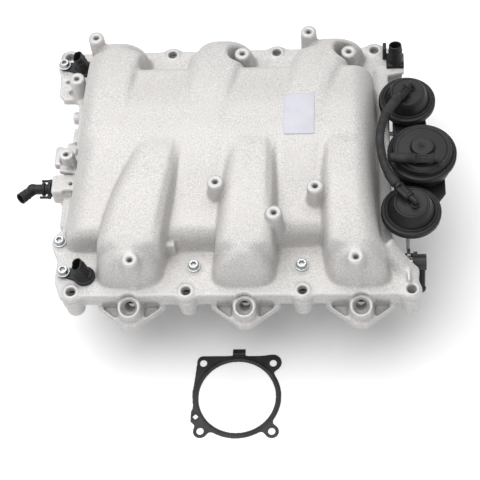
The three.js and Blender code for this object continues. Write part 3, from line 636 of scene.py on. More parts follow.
LEFT_BOSSES = BOSSES[1:3]  # in a recess in the left wall
FRONT_BOSSES = BOSSES[-2:]  # on the front runners, with a rib down to the flange
RELIEF_DEPTH = 9.0  # the relief's distances are true only this near to it


def port_mouth(x, side):
    y0, y1 = sorted((side * 86.5, side * 118))
    return slab(x - 19, x + 19, y0, y1, 88, FLANGE_TOP - 0.8)


def injector_scoop(x, side):
    return cone((x, side * 147, 82), (x, side * 151.5, 101), 8.8, 11.4)


def clip_lug(s):
    """The forked lug and its web on the left edge."""
    s.add(slab(-171, -163.5, 2, 24, 90.4, 100, 1.2), slab(-168, -150, 14, 22, 90.4, 101, 1.2), fillet=1.5)
    web = [(-166, -3), (-148, -6), (-148, 16), (-160, 16)]
    s.add(prism(web, 90.2, 97, 0.5), fillet=1.5)
    s.cut(slab(-165.5, -159.5, 4.5, 15.5, 94, 104, 1.0), fillet=0.8)


def left_bracket(s):
    """The ribbed block under the rear sensor, with two small pockets."""
    block = [(-174.5, 111), (-150, 117), (-148, 84.5), (-169, 84.5), (-174.5, 91)]
    s.add(prism(block, 90.2, 96.5, 1.5), fillet=2)
    s.cut(prism([(-170, 106), (-156, 109), (-156, 98)], 92.5, 99, 0.8), fillet=0.8)
    s.cut(prism([(-166, 94), (-154, 95), (-154, 90), (-163, 90.5)], 93, 99, 0.6), fillet=0.8)


def corner_web(s):
    """The saddle from the right front runner's foot down to the corner collar."""
    s.add(cone((145, -99, 110), (170, -122, 93), 10, 4, 3), fillet=12)
    s.add(slab(165.5, 168.3, -132, -118, 94, 103, 0.8), fillet=1)


def square_post(s):
    """The square stop and the open cast ring at its foot, beside the left front runner."""
    s.add(slab(-53.3, -45.3, -100.5, -94.5, 94, 115, 1.0), fillet=2)
    s.add(ring((-48.7, -103.6, 95.2), 7.2, 1.4), fillet=0.8)


def runner_roof(s):
    """The cast skin over the runners, and the recesses that some bosses stand in."""
    where, x, y, z = s.whole()
    runners, top = relief_distance(x, y, z)
    wall_clear = slab(RIGHT_WALL_X, 200, -90, 112, FLANGE_TOP, 200, 0)[2](x, y, z)
    s.field[where] = np.clip(-smooth_min(-runners, wall_clear, 4), -RELIEF_DEPTH, RELIEF_DEPTH)
    s.soften(4)
    for x0, y0, z0 in SHOULDER_BOSSES:
        s.cut(post(x0, y0, z0 - 22, z0 + 12, 10.5, 15.5, 3), fillet=3)
    for x0, y0, z0 in LEFT_BOSSES:
        s.cut(post(x0, y0, z0 - 3, z0 + 34, 10.6, 12.5, 1), fillet=2)
    return top


def flange(s):
    """Trims the shell to the rim's outline, with a bulge round each seat near the edge."""
    where, x, y, z = s.whole()
    bulges = [(cx, cy, 9.4, 5) for cx, cy, _ in HEAD_BOLTS]
    bulges.append((*SHELL_SCREWS[0], 7.6, 3))
    for sx, sy, px, py in SENSOR_SEATS:
        bulges += [(sx, sy, 11.6, 3), (px, py, 7.2, 4)]
    rim = outline_distance(RIM, x, y) - 1.0
    for cx, cy, radius, blend in bulges:
        rim = smooth_min(rim, np.hypot(x - cx, y - cy) - radius, blend)
    walls = np.minimum(s.field, s.FAR)
    s.field[where] = -smooth_min(-walls, -rim, 1.4)
    s.field[where] = np.maximum(s.field, PARTING - z)


def raised_seats(s):
    for cx, cy, cz in HEAD_BOLTS:
        s.add(post(cx, cy, 91, cz, COLLAR_R + 0.3, COLLAR_R, 0.5), fillet=1.0)
    for cx, cy in SHELL_SCREWS:
        s.cut(post(cx, cy, FLANGE_TOP + 0.5, 116, 8.4, 9.4, 2), fillet=1.5)
        s.add(post(cx, cy, 91, FLANGE_TOP + 1.5, 7.4, 7.0, 0.5), fillet=0.8)
    for sx, sy, px, py in SENSOR_SEATS:
        s.cut(post(sx, sy, SENSOR_Z + 0.2, 130, 11.4, 12.5, 2), fillet=1.5)
        s.add(post(sx, sy, 91, SENSOR_Z, 11.2, 11.0, 0.5), fillet=1.2)
        s.add(post(px, py, 90.4, SENSOR_Z, 6.6, 6.4, 0.5), fillet=1.2)


def hollow_out(s, outer, top):
    """Leaves a wall under the outer skin; the bosses keep a solid core inside."""
    where, x, y, z = s.whole()
    ceiling = shrunk(top[:, :, 0])[:, :, None] - WALL
    hollow = np.maximum(np.maximum(outer + WALL, z - FLANGE_TOP - ceiling), 3 - ceiling)
    s.field[where] = np.maximum(s.field, -hollow)
    for x0, y0, z0 in BOSSES:
        s.add(post(x0, y0, z0 - 17, z0 - 2, 5.5, 6.5, 0.5), fillet=1.5)


def drill_upper_shell(s):
    for x0, side in PORTS:
        s.cut(port_mouth(x0, side), injector_scoop(x0, side), fillet=0.8)
    for cx, cy, cz in HEAD_BOLTS:
        s.cut(hole(cx, cy, 85, cz + 3, BOLT_HOLE_R), hole(cx, cy, cz - 0.8, cz + 1, 4.0, 5.2))
    for x0, y0, z0 in BOSSES:
        s.cut(hole(x0, y0, z0 - 14, z0 + 3, TAPPED_HOLE_R), hole(x0, y0, z0 - 0.9, z0 + 1, 2.2, 3.6))
    for cx, cy in SHELL_SCREWS:
        s.cut(hole(cx, cy, 85, 100, SCREW_HOLE_R))
    for sx, sy, px, py in SENSOR_SEATS:
        s.cut(post(sx, sy, 91.2, 100, 7.5, edge=0.5), hole(px, py, 91.2, 100, 3.0))


def upper_shell():
    s = Solid((-181, -149, 88.5), (179, 149, 153), SHELL_CELL)
    top = runner_roof(s)
    outer = s.field.copy()
    for x0, y0, z0 in FRONT_BOSSES:
        s.add(cone((x0, y0 + 3, z0 - 6), (x0, y0 - 9.5, FLANGE_TOP + 3), 8, 2, 1), fillet=7)
    for x0, y0, z0 in BOSSES:
        s.add(post(x0, y0, 91, z0, 8.7, COLLAR_R, 0.5), fillet=3.0)
    flange(s)
    raised_seats(s)
    clip_lug(s)
    left_bracket(s)
    corner_web(s)
    square_post(s)
    hollow_out(s, outer, top)
    drill_upper_shell(s)
    return s.soften()


def upper_shell_piece():
    ob = upper_shell().mesh("upper_shell_casting")
    stand_in(ob, "upper_shell")
    polish(ob, HEAD_BOLTS + BOSSES, COLLAR_R + 0.2)


def polish(ob, places, r):
    """Gives the flat tops of round seats the machined finish."""
    ob.data.materials.append(MACHINED)
    mesh = ob.data
    centres = np.empty(len(mesh.polygons) * 3)
    normals = np.empty(len(mesh.polygons) * 3)
    mesh.polygons.foreach_get("center", centres)
    mesh.polygons.foreach_get("normal", normals)
    c, up = centres.reshape(-1, 3) / MM, normals.reshape(-1, 3)[:, 2]
    chosen = np.zeros(len(c), int)
    for x, y, z in places:
        near = (np.hypot(c[:, 0] - x, c[:, 1] - y) < r) & (np.abs(c[:, 2] - z) < 0.7) & (up > 0.8)
        chosen[near] = 1
    mesh.polygons.foreach_set("material_index", chosen)


# ------------------------------------------------------------------ lower shell
BELLY = (-152.0, 150.0, 82.0)  # left and right ends, and half the width
UNDERSIDE = 0.05
THROTTLE_X, THROTTLE_Z = -164.0, 43.0
THROTTLE_BOLT_Y, THROTTLE_BOLT_Z = 33.5, 35.0  # from the bore's centre
TUMBLE_Y, TUMBLE_Z = 101.0, 82.0
CHANGEOVER_Y, CHANGEOVER_Z = 5.0, 79.0
SHAFT_R, BUSH_R, GAP = 4.0, 7.0, 0.4
BUSH_LENGTH = 8.0
BEARING_R = 10.2  # cast housings round the tumble bushes
BEARINGS = ((-158.6, -145, FRONT), (163, 150, FRONT), (-174.6, -150, REAR), (152, 140, REAR))
TUMBLE_ENDS = ((FRONT, -158, 155), (REAR, -174, 144))  # where each shaft's two bushes start, from the left
BRACKET_SCREWS = [(44.0, 82.4), (-40.0, 82.4)]


def mirrored(outline, side):
    """The outline as drawn for the rear bank, or turned over for the front one."""
    return [(u, side * v) for u, v in outline]


def wing_plate(s, x, side):
    """The rounded triangle under an injector: raised rim, two lightening pockets and the seat's tower."""
    outline = [(x - 30, 94), (x - 30, 138), (x - 4, 158.5), (x + 4, 158.5), (x + 30, 138), (x + 30, 94)]
    s.add(prism(mirrored(outline, side), PORT_FACE, 74, 2.6, 1.5), fillet=4)
    for hand in (-1, 1):
        pocket = [(x + hand * 14, 141), (x + hand * 14, 149.5), (x + hand * 24.5, 141)]
        s.cut(prism(mirrored(pocket, side), 68.5, 82, 1.6, 0.8), fillet=1.2)
    s.add(cone((x, side * 146, PORT_FACE + 2), (x, side * 148, 88), 11.2, 10.4, 2), fillet=2.5)
    s.add(slab(x - 10.5, x + 10.5, *sorted((side * 130, side * 147)), PORT_FACE + 1, 88, 2.0), fillet=1.5)


def injector_bore(s, x, side):
    """A funnel with a round bore that runs down to the port."""
    s.cut(bore((x, side * 151, 94), (x, side * 146.2, 78.5), 10.2, 5.2), fillet=1.0)
    s.cut(bore((x, side * 147, 82), (x, side * 124, 61.6), 4.9), fillet=0.5)


def throttle_flange(s):
    """A square flange with a short neck, a round bore and four threaded holes."""
    s.add(prism(rectangle(-34, 34, 9, 77), THROTTLE_X, -148, 8, 1.0, "x"), fillet=5)
    s.add(cone((THROTTLE_X + 3, 0, THROTTLE_Z), (-138, 0, THROTTLE_Z), THROTTLE_R + 5), fillet=4)
    s.cut(bore((THROTTLE_X - 9, 0, THROTTLE_Z), (-140, 0, THROTTLE_Z), THROTTLE_R), fillet=0.8)
    for y in (-THROTTLE_BOLT_Y, THROTTLE_BOLT_Y):
        for z in (THROTTLE_Z - THROTTLE_BOLT_Z, THROTTLE_Z + THROTTLE_BOLT_Z):
            s.cut(bore((THROTTLE_X - 9, y, z), (THROTTLE_X + 10, y, z), 3.2))


ELBOW_Y, ELBOW_Z = -18.5, 88.0  # axis of the elbow fitting's spigot


def left_side_details(s):
    """The spigot box, its rib and the small stub and lug on the left wall."""
    s.add(slab(-171.5, -147, -28.5, -8, 77, 98, 1.2), fillet=2)
    s.cut(slab(-160, -150, -60, -26, 92, 99.5, 1.5), fillet=1)
    s.add(slab(-161, -147, -62, -30, 70, 89, 1.2), fillet=3)
    s.cut(slab(-164, -157, -58, -34, 74, 86, 1.0), fillet=1)
    s.add(cone((-161, 70, 83), (-140, 70, 83), 6.2), fillet=1.5)
    s.add(slab(-158, -145, 36, 54, 79, 89, 1.5), fillet=2)
    s.cut(bore((-185, ELBOW_Y, ELBOW_Z), (-158, ELBOW_Y, ELBOW_Z), 6.8), hole(-153, ELBOW_Y, 79, 100, 1.8))


def belly_ribs(s):
    for x in range(-125, 150, 50):
        for side in (-1, 1):
            s.add(slab(x - 1.6, x + 1.6, *sorted((side * 60, side * 88)), 18, 78, 1.2), fillet=3)
    for y in (-40, 0, 40):
        s.add(slab(140, 153, y - 1.6, y + 1.6, 16, 78, 1.2), fillet=3)


def inner_spaces(s):
    """The plenum, the ledges that carry the runner tray, the ports and the shaft bearings."""
    x0, x1, half = BELLY
    s.cut(prism(rectangle(x0 + 24, x1 - 24, 24 - half, half - 24), 15, 100, 18, 0), fillet=2)
    s.cut(prism(rectangle(x0 + 28, x1 - 28, 28 - half, half - 28), 5, 18, 14, 2))
    for side in (-1, 1):
        s.add(slab(-150, 150, *sorted((side * 73.5, side * 79)), 68, 83.2, 0.4))
    for x, side in PORTS:
        s.cut(prism(rectangle(x - 17, x + 17, *sorted((side * 91.8, side * 122.8))), 60, 96, 4, 0), fillet=1)
    for side, left, right in TUMBLE_ENDS:
        y = side * TUMBLE_Y
        s.cut(bore((-190, y, TUMBLE_Z), (190, y, TUMBLE_Z), SHAFT_R + GAP))
        s.cut(bore((-200, y, TUMBLE_Z), (left + BUSH_LENGTH + GAP, y, TUMBLE_Z), BUSH_R + GAP))
        s.cut(bore((right - GAP, y, TUMBLE_Z), (200, y, TUMBLE_Z), BUSH_R + GAP))
    s.cut(bore((138, CHANGEOVER_Y, CHANGEOVER_Z), (165, CHANGEOVER_Y, CHANGEOVER_Z), BUSH_R + GAP))
    seal_low, seal_high = box_mm("shell_seal")
    x0, y0, x1, y1 = seal_low[0] - 1.2, seal_low[1] - 1.2, seal_high[0] + 1.2, seal_high[1] + 1.2
    width, floor = 5.5, seal_low[2] - 0.3
    for left, right, front, rear in ((x0, x0 + width, y0, y1), (x1 - width, x1, y0, y1),
                                     (x0, x1, y0, y0 + width), (x0, x1, y1 - width, y1)):
        s.cut(slab(left, right, front, rear, floor, PARTING + 5, 0))


def lower_shell():
    s = Solid((-181, -163, -1), (179, 163, 99), SHELL_CELL)
    where, x, y, z = s.whole()
    rim = outline_distance(RIM, x, y) + 0.6
    for cx, cy, _ in HEAD_BOLTS:
        rim = smooth_min(rim, np.hypot(x - cx, y - cy) - 9.0, 3)
    s.field[where] = rounded(rim, np.abs(z - (SKIRT + LOWER_TOP) / 2) - (LOWER_TOP - SKIRT) / 2, 0.8)
    x0, x1, half = BELLY
    s.add(prism(rectangle(x0 + 24, x1 - 24, 24 - half, half - 24), 0, SKIRT + 6, 24, 9), fillet=5)
    belly_ribs(s)
    for cx, cy, _ in HEAD_BOLTS:
        s.add(post(cx, cy, PORT_FACE, LOWER_TOP, 8.6, 9.0, 2.5), fillet=2)
    for px, side in PORTS:
        wing_plate(s, px, side)
    throttle_flange(s)
    left_side_details(s)
    for outer, inner, side in BEARINGS:
        y0 = side * TUMBLE_Y
        s.add(cone((outer, y0, TUMBLE_Z), (inner, y0, TUMBLE_Z), BEARING_R, edge=1), fillet=2)
    block = slab(-172, -140, -29, -7, PARTING, 98, 0)[2](x, y, z)
    s.field = np.maximum(s.field, np.minimum(z - LOWER_TOP, block))
    inner_spaces(s)
    for px, side in PORTS:
        injector_bore(s, px, side)
    for cx, cy, _ in HEAD_BOLTS:
        s.cut(hole(cx, cy, 60, 95, BOLT_HOLE_R))
    for cx, cy in SHELL_SCREWS:
        s.cut(hole(cx, cy, 78, 95, SCREW_HOLE_R))
    for by, bz in BRACKET_SCREWS:
        s.cut(bore((152, by, bz), (160, by, bz), 3))
    s.soften()
    s.field[where] = np.maximum(s.field, UNDERSIDE - z)
    return s


def lower_shell_piece():
    stand_in(lower_shell().mesh("lower_shell_casting"), "lower_shell")


# ------------------------------------------------------------------ stage, light and camera


def stage():
    bpy.ops.mesh.primitive_grid_add(x_subdivisions=2, y_subdivisions=2, size=8)
    floor = bpy.context.object
    floor.name = "floor"
    n = Nodes("floor_paper")
    shade = n.spread(n.noise(60, 2), (0.93, 0.93, 0.935), (0.95, 0.95, 0.955))
    floor.data.materials.append(n.finish(shade, 0.9))
    world = bpy.data.worlds.new("studio")
    world.use_nodes = True
    background = world.node_tree.nodes["Background"]
    background.inputs["Color"].default_value = (1, 1, 1, 1)
    background.inputs["Strength"].default_value = 0.55
    bpy.context.scene.world = world
    bpy.context.scene.view_settings.view_transform = "Standard"


def softbox(name, place, size, power):
    """A wide lamp that looks at the middle of the part."""
    light = bpy.data.lights.new(name, "AREA")
    light.shape = "RECTANGLE"
    light.size, light.size_y = size
    light.energy = power
    ob = link(name, light)
    ob.location = place
    ob.rotation_euler = (Vector((0, 0, 0.1)) - Vector(place)).to_track_quat("-Z", "Y").to_euler()


def camera():
    """The viewing angle of a product shot: from the front, high up, turned and tilted a little."""
    azimuth, elevation, roll, distance = radians(-9.15), radians(58.32), radians(-8.48), 1219 * MM
    aim = Vector((13.05, -84.7, 98.0)) * MM
    forward = Vector((sin(azimuth) * cos(elevation), cos(azimuth) * cos(elevation), -sin(elevation)))
    level = forward.cross(Vector((0, 0, 1))).normalized()
    upward = level.cross(forward)
    right = level * cos(roll) + upward * sin(roll)
    up = upward * cos(roll) - level * sin(roll)
    data = bpy.data.cameras.new("camera")
    data.lens, data.sensor_width = 98.8, 36
    ob = link("camera", data)
    turn = Matrix((right, up, -forward)).transposed().to_4x4()
    ob.matrix_world = Matrix.Translation(aim - forward * distance) @ turn
    bpy.context.scene.camera = ob


# ------------------------------------------------------------------ turned and swept surfaces


def band(bm, lower, upper):
    """A row of faces between two rings of points."""
    for i in range(len(lower)):
        j = (i + 1) % len(lower)
        bm.faces.new((lower[i], lower[j], upper[j], upper[i]))


def surface(name, bm):
    data = bpy.data.meshes.new(name)
    bm.to_mesh(data)
    bm.free()
    data.shade_smooth()
    return link(name, data)


def turned(name, profile, centre, sides=128):
    """A closed profile of (radius, height) pairs, turned round the vertical through centre."""
    bm = bmesh.new()
    cx, cy = centre
    turns = [2 * pi * i / sides for i in range(sides)]
    rings = []
    for r, z in profile:
        spots = [(cx + r * cos(a), cy + r * sin(a), z) for a in turns]
        rings.append([bm.verts.new([v * MM for v in spot]) for spot in spots])
    for lower, upper in zip(rings, rings[1:] + rings[:1]):
        band(bm, lower, upper)
    bmesh.ops.remove_doubles(bm, verts=bm.verts, dist=1e-6)
    bmesh.ops.recalc_face_normals(bm, faces=bm.faces)
    return surface(name, bm)


def rounded_profile(points, radius=0.6, steps=3):
    """The closed profile with each corner turned into a small arc."""
    out = []
    n = len(points)
    for i in range(n):
        before, at, after = (np.array(points[k % n], float) for k in (i - 1, i, i + 1))
        a, b = before - at, after - at
        la, lb = np.linalg.norm(a), np.linalg.norm(b)
        r = min(radius, la * 0.45, lb * 0.45)
        start, end = at + a / la * r, at + b / lb * r
        for k in range(steps + 1):
            t = k / steps
            out.append(tuple((1 - t) ** 2 * start + 2 * t * (1 - t) * at + t * t * end))
    return out


def smooth_route(points, steps):
    """A rounded path through the points."""
    p = [np.array(q, float) for q in points]
    p = [2 * p[0] - p[1], *p, 2 * p[-1] - p[-2]]
    path = []
    for a, b, c, d in zip(p, p[1:], p[2:], p[3:]):
        bend, twist = 2 * a - 5 * b + 4 * c - d, 3 * b - a - 3 * c + d
        for t in (k / steps for k in range(steps)):
            path.append(0.5 * (2 * b + (c - a) * t + bend * t * t + twist * t**3))
    return path + [p[-2]]


def swept(name, path, radius, sides):
    """A closed tube along a path, whose radius depends on the share of the way."""
    bm = bmesh.new()
    rings, side = [], None
    for i, point in enumerate(path):
        ahead = path[min(i + 1, len(path) - 1)] - path[max(i - 1, 0)]
        ahead = ahead / np.linalg.norm(ahead)
        side = np.cross(ahead, UP) if side is None else side - ahead * np.dot(side, ahead)
        side = side / np.linalg.norm(side)
        up = np.cross(side, ahead)
        r = radius(i / (len(path) - 1))
        turns = (2 * pi * k / sides for k in range(sides))
        rings.append([bm.verts.new(tuple((point + r * (cos(a) * side + sin(a) * up)) * MM)) for a in turns])
    for lower, upper in zip(rings, rings[1:]):
        band(bm, lower, upper)
    bm.faces.new(rings[0])
    bm.faces.new(rings[-1])
    bmesh.ops.recalc_face_normals(bm, faces=bm.faces)
    return surface(name, bm)


# ------------------------------------------------------------------ actuators
class Actuator:
    """A vacuum can: radius, radius of the disc on its cap, and the heights of base, rim and top."""

    def __init__(self, name, r, cap, base, rim, top):
        low, high = box_mm(f"actuator_cap_{name}")
        self.name, self.r, self.cap, self.base, self.rim, self.top = name, r, cap, base, rim, top
        self.x, self.y = (low[0] + high[0]) / 2, (low[1] + high[1]) / 2


ACTUATORS = [
    Actuator("front", 27.6, 15.4, 104, 110, 127),
    Actuator("changeover", 32, 24, 104, 122, 132),
    Actuator("rear", 27.1, 15.4, 104, 110, 127),
]
FRONT_CAN, LARGE_CAN, REAR_CAN = ACTUATORS
CAN_WALL, ROD_HOLE_R = 2.4, 4.6
RIM_GAP = 0.9  # the cap starts this far over the rim's height
HUB_RISE = 4.0  # the hub stands this far above the large can
DISC_SINK = 1.2  # and the disc round it lies this far under the can's top


def can_base(a):
    r, z, rim = a.r, a.base, a.rim
    profile = rounded_profile([
        (ROD_HOLE_R, z), (r - 8, z), (r - 4.5, z + 1.6),
        (r - 3.2, rim - 2.6), (r - 1, rim - 2.2), (r, rim - 1.6),
        (r, rim + 0.5), (r - 5.6, rim + 0.5), (r - 6.6, z + CAN_WALL), (ROD_HOLE_R, z + CAN_WALL),
    ])
    stand_in(turned(f"can_base_{a.name}", profile, (a.x, a.y)), f"actuator_base_{a.name}")


def flat_cap(a):
    """Front and rear cans: broad rim, groove, dark cone and a flat disc with a raised edge."""
    r, z, top, cap = a.r, a.rim + RIM_GAP, a.top, a.cap
    rim = [
        (r, z), (r, z + 2.2), (r - 0.8, z + 3.2), (r - 2.6, z + 3.6), (r - 3.2, z + 3.0), (r - 3.9, z + 3.0),
        (r - 4.3, z + 4.4), (r - 5.4, z + 4.4), (r - 6.2, z + 3.2),
    ]
    disc = [
        (cap + 3.0, top - 4.6), (cap + 1.2, top - 0.9), (cap + 0.4, top),
        (cap - 0.9, top), (cap - 1.4, top - 0.7), (5.2, top - 0.5), (4.7, top - 0.1), (0.4, top - 0.1),
    ]
    inside = [(0.4, top - 2.4), (cap - 0.8, top - 2.6), (r - 8.0, z + 1.4), (r - 8.0, z)]
    return rim + disc + inside


def stepped_cap(a):
    """The large can: broad rim, low steps, a wide disc and the raised hub in its middle."""
    r, z, top, cap = a.r, a.rim + RIM_GAP, a.top + HUB_RISE, a.cap
    disc = a.top - DISC_SINK
    outside = [
        (r, z), (r, z + 1.8), (r - 1.2, z + 2.6), (r - 2.8, z + 2.8), (r - 3.3, z + 2.2), (r - 4.2, z + 2.2),
        (cap + 3.2, disc - 0.6), (cap + 2.6, disc + 0.5), (cap + 1.8, disc + 0.5), (cap + 1.2, disc - 0.2),
        (cap - 1.2, disc), (cap - 1.8, disc + 0.7), (12.4, disc + 0.5), (11.0, disc + 1.2), (10.4, top - 0.8),
        (9.8, top), (3.4, top), (3.0, top - 0.6), (1.5, top - 0.6), (1.0, top - 1.4), (0.4, top - 1.4),
    ]
    inside = [(0.4, disc - 1.2), (12, disc - 1.2), (cap - 1, disc - 1.4), (r - 6.4, z + 0.6), (r - 6.4, z)]
    return outside + inside


def can_cap(a):
    corners = stepped_cap(a) if a is LARGE_CAN else flat_cap(a)
    ob = turned(f"can_cap_{a.name}", rounded_profile(corners, 0.45), (a.x, a.y))
    stand_in(ob, f"actuator_cap_{a.name}")


# ------------------------------------------------------------------ hose and its connectors
HOSE_ROUTE = [
    (160.8, 48.7, 133.3), (151, 31, 137), (145.5, 14, 140), (143, -4, 141.3),
    (144.5, -21, 140), (149, -36, 136.5), (157.1, -48.6, 133.0),
]
HOSE_R, SLEEVE_THICK = 3.95, 0.75
REAR_SLEEVE_END, FRONT_SLEEVE_START = 0.21, 0.86  # shares of the hose's length


def sleeve(t):
    """Hose radius: thicker moulded sleeves over both connectors, with a step where they end."""
    step = 0.008
    rear = 1 - smooth_step((t - REAR_SLEEVE_END) / step)
    front = smooth_step((t - FRONT_SLEEVE_START) / step)
    return HOSE_R + SLEEVE_THICK * max(float(rear), float(front))


def hose():
    """Arches up a little between the two connectors that hold it."""
    stand_in(swept("vacuum_hose_tube", smooth_route(HOSE_ROUTE, 30), sleeve, 32), "vacuum_hose")


def slotted_connector(name, head, tail, can):
    """An angled plug: pin and pipe on the can, then a forked grip with a long slot, then the hose collar."""
    head, tail = np.array(head), np.array(tail)
    run = tail - head
    ahead = run / np.linalg.norm(run)
    across = np.cross(ahead, UP)
    across = across / np.linalg.norm(across)
    grip, end = head + run * 0.26, head + run * 0.9
    s = Solid(np.minimum(head, tail) - 8, np.maximum(head, tail) + 8, PLUG_CELL)
    s.add(cone(head, head + run * 0.5, 2.6, 3.0, 0.5), fillet=0.4)
    s.add(ball(head, 3.2), fillet=0.8)
    for hand in (-1, 1):
        s.add(cone(grip + across * hand * 3.0, end + across * hand * 3.0, 1.9, edge=0.5), fillet=0.6)
    s.add(cone(grip, end, 3.4, edge=0.5), fillet=0.4)
    for share in (0.26, 0.84):
        at = head + run * share
        s.add(cone(at, at + ahead * 1.8, 4.9, edge=0.5), fillet=0.4)
    s.cut(cone(grip + run * 0.12 + UP * 3.2, end - run * 0.08 + UP * 3.2, 1.5, edge=0.3), fillet=0.3)
    s.add(cone(tail - ahead * 3, tail - ahead * 0.2, 5.0, 4.6, 0.6), fillet=0.4)
    s.add(post(head[0], head[1], can.top + 0.3, head[2], 3.0, edge=0.5), fillet=0.8)
    s.add(post(head[0], head[1], can.top + 0.3, can.top + 1.6, 4.6, 4.2, 0.4), fillet=0.6)
    stand_in(s.soften().mesh(f"connector_{name}"), f"vacuum_connector_{name}")


def hose_elbow():
    """The plug on the large can: a thick rubber sleeve on the left, a slotted grip and a ball-ended pin."""
    x, y, z = LARGE_CAN.x, LARGE_CAN.y - 15.6, LARGE_CAN.top + 5
    s = Solid((150, -29, 126), (199, -15, 144), HOSE_ELBOW_CELL)
    s.add(cone((x - 30.3, y + 1.6, z + 0.4), (x - 9, y + 0.6, z + 0.4), 4.4, 4.7, 1.4))
    for t in (-11.5, -9.6):
        s.add(cone((x + t, y + 0.6, z + 0.4), (x + t + 1.0, y + 0.6, z + 0.4), 5.0, edge=0.4), fillet=0.4)
    s.add(cone((x - 9, y + 0.5, z + 0.2), (x + 9, y, z), 3.9), fillet=0.6)
    for hand in (-1, 1):
        s.add(cone((x - 8, y + hand * 2.6, z), (x + 8, y + hand * 2.6, z), 2.1), fillet=0.5)
    s.cut(cone((x - 6, y + 0.4, z + 3.9), (x + 5, y + 0.2, z + 3.9), 1.3, edge=0.3), fillet=0.3)
    for t in (-8.6, 7.4):
        s.add(cone((x + t, y + 0.3, z), (x + t + 1.6, y + 0.3, z), 5.0, edge=0.4), fillet=0.4)
    s.add(cone((x + 9, y, z), (x + 13.2, y, z), 3.2, 2.6, 0.5), ball((x + 12, y, z), 3.4), fillet=0.7)
    s.add(post(x + 6, y, LARGE_CAN.top - 4.6, z, 3.5, edge=0.3), fillet=1.2)
    stand_in(s.soften().mesh("large_hose_elbow"), "changeover_hose_elbow")


# ------------------------------------------------------------------ sensors and the elbow fitting
def position_sensor(side, x, y, px, py):
    """Disc, ear to the screw, and a leaning oval socket with two contact blades."""
    low, high = box_mm(f"position_sensor_{side}")
    s = Solid(low - 2, high + 3, FINE_CELL)
    z = SENSOR_Z + 0.3
    foot, mouth = np.array((x, y + 0.5, z + 3)), np.array((x - 4.6, y + 2.4, z + 19.6))
    lean = mouth - foot
    oval = np.array((0, 2.3, 0))
    s.add(post(x, y, z, z + 3.2, 10.2, 9.8, 0.7))
    ear = [(px + 0.4, py - 4.4), (px + 0.4, py + 4.4), (x, y + 7.6), (x, y - 7.6)]
    s.add(prism(ear, z, z + 2.9, 0.3, 0.5), fillet=0.8)
    s.add(post(px, py, z, z + 2.9, 5.1, edge=0.5), fillet=0.5)
    s.add(post(x, y, z + 2, z + 5.4, 8.2, 7.4, 0.8), fillet=1.0)
    for hand in (-1, 1):
        s.add(cone(foot + hand * oval, mouth + hand * oval, 5.6, 4.6, 0.5), fillet=1.2)
    for share in (0.35, 0.6):
        for hand in (-1, 1):
            at = foot + lean * share + hand * oval
            s.add(cone(at, at + lean * 0.05, 5.9, edge=0.3), fillet=0.3)
    deep, past = foot + lean * 0.42, mouth + lean * 0.2
    for hand in (-1, 0, 1):
        s.cut(cone(deep + hand * oval, past + hand * oval, 3.5, edge=0.2))
    s.cut(hole(px, py, z - 1, z + 4, 3.2))
    s.add(post(x, y, PARTING + 2, z + 1, 6.9, edge=0.3))
    for t in (-1.6, 1.6):
        blade = deep + np.array((0, t, -1))
        s.add(cone(blade, blade + lean * 0.42, 0.6, edge=0.2))
    stand_in(s.soften().mesh(f"sensor_{side}"), f"position_sensor_{side}")


def rear_sensor():
    """A square foot with a forked clip on its left, and a round socket with three contacts."""
    s = Solid(*box_mm("rear_sensor"), FINE_CELL)
    x, y, z = 161, 122, FLANGE_TOP + 0.3
    s.add(slab(x - 8.5, x + 9, y - 8, y + 9, z, FLANGE_TOP + 5))
    s.add(slab(x - 12, x - 8.4, y + 3, y + 12, z, 113, 0.6), fillet=0.5)
    s.add(slab(x - 12, x - 6, y + 3, y + 9, z, 99, 0.5), fillet=0.5)
    s.cut(slab(x - 12.5, x - 10.8, y + 5, y + 10, 101, 110, 0.3))
    s.add(cone((x + 1, y - 1, 98), (x, y + 4, 118.6), 7.2, 6.3), fillet=1.0)
    s.add(cone((x + 0.4, y + 2.2, 111), (x + 0.2, y + 2.7, 113), 7.0, edge=0.4), fillet=0.3)
    for hand in (-1, 1):
        s.add(slab(*sorted((x + hand * 6, x + hand * 7.4)), y - 2, y + 3, 101, 108, 0.4), fillet=0.4)
    s.cut(cone((x + 0.5, y + 1, 106), (x, y + 4.6, 122), 5.0, edge=0.2))
    for t in (-2, 0, 2):
        s.add(cone((x + 0.4 + t, y + 1.1, 104), (x + t, y + 3.2, 113.5), 0.6, edge=0.2))
    stand_in(s.soften().mesh("rear_sensor_body"), "rear_sensor")


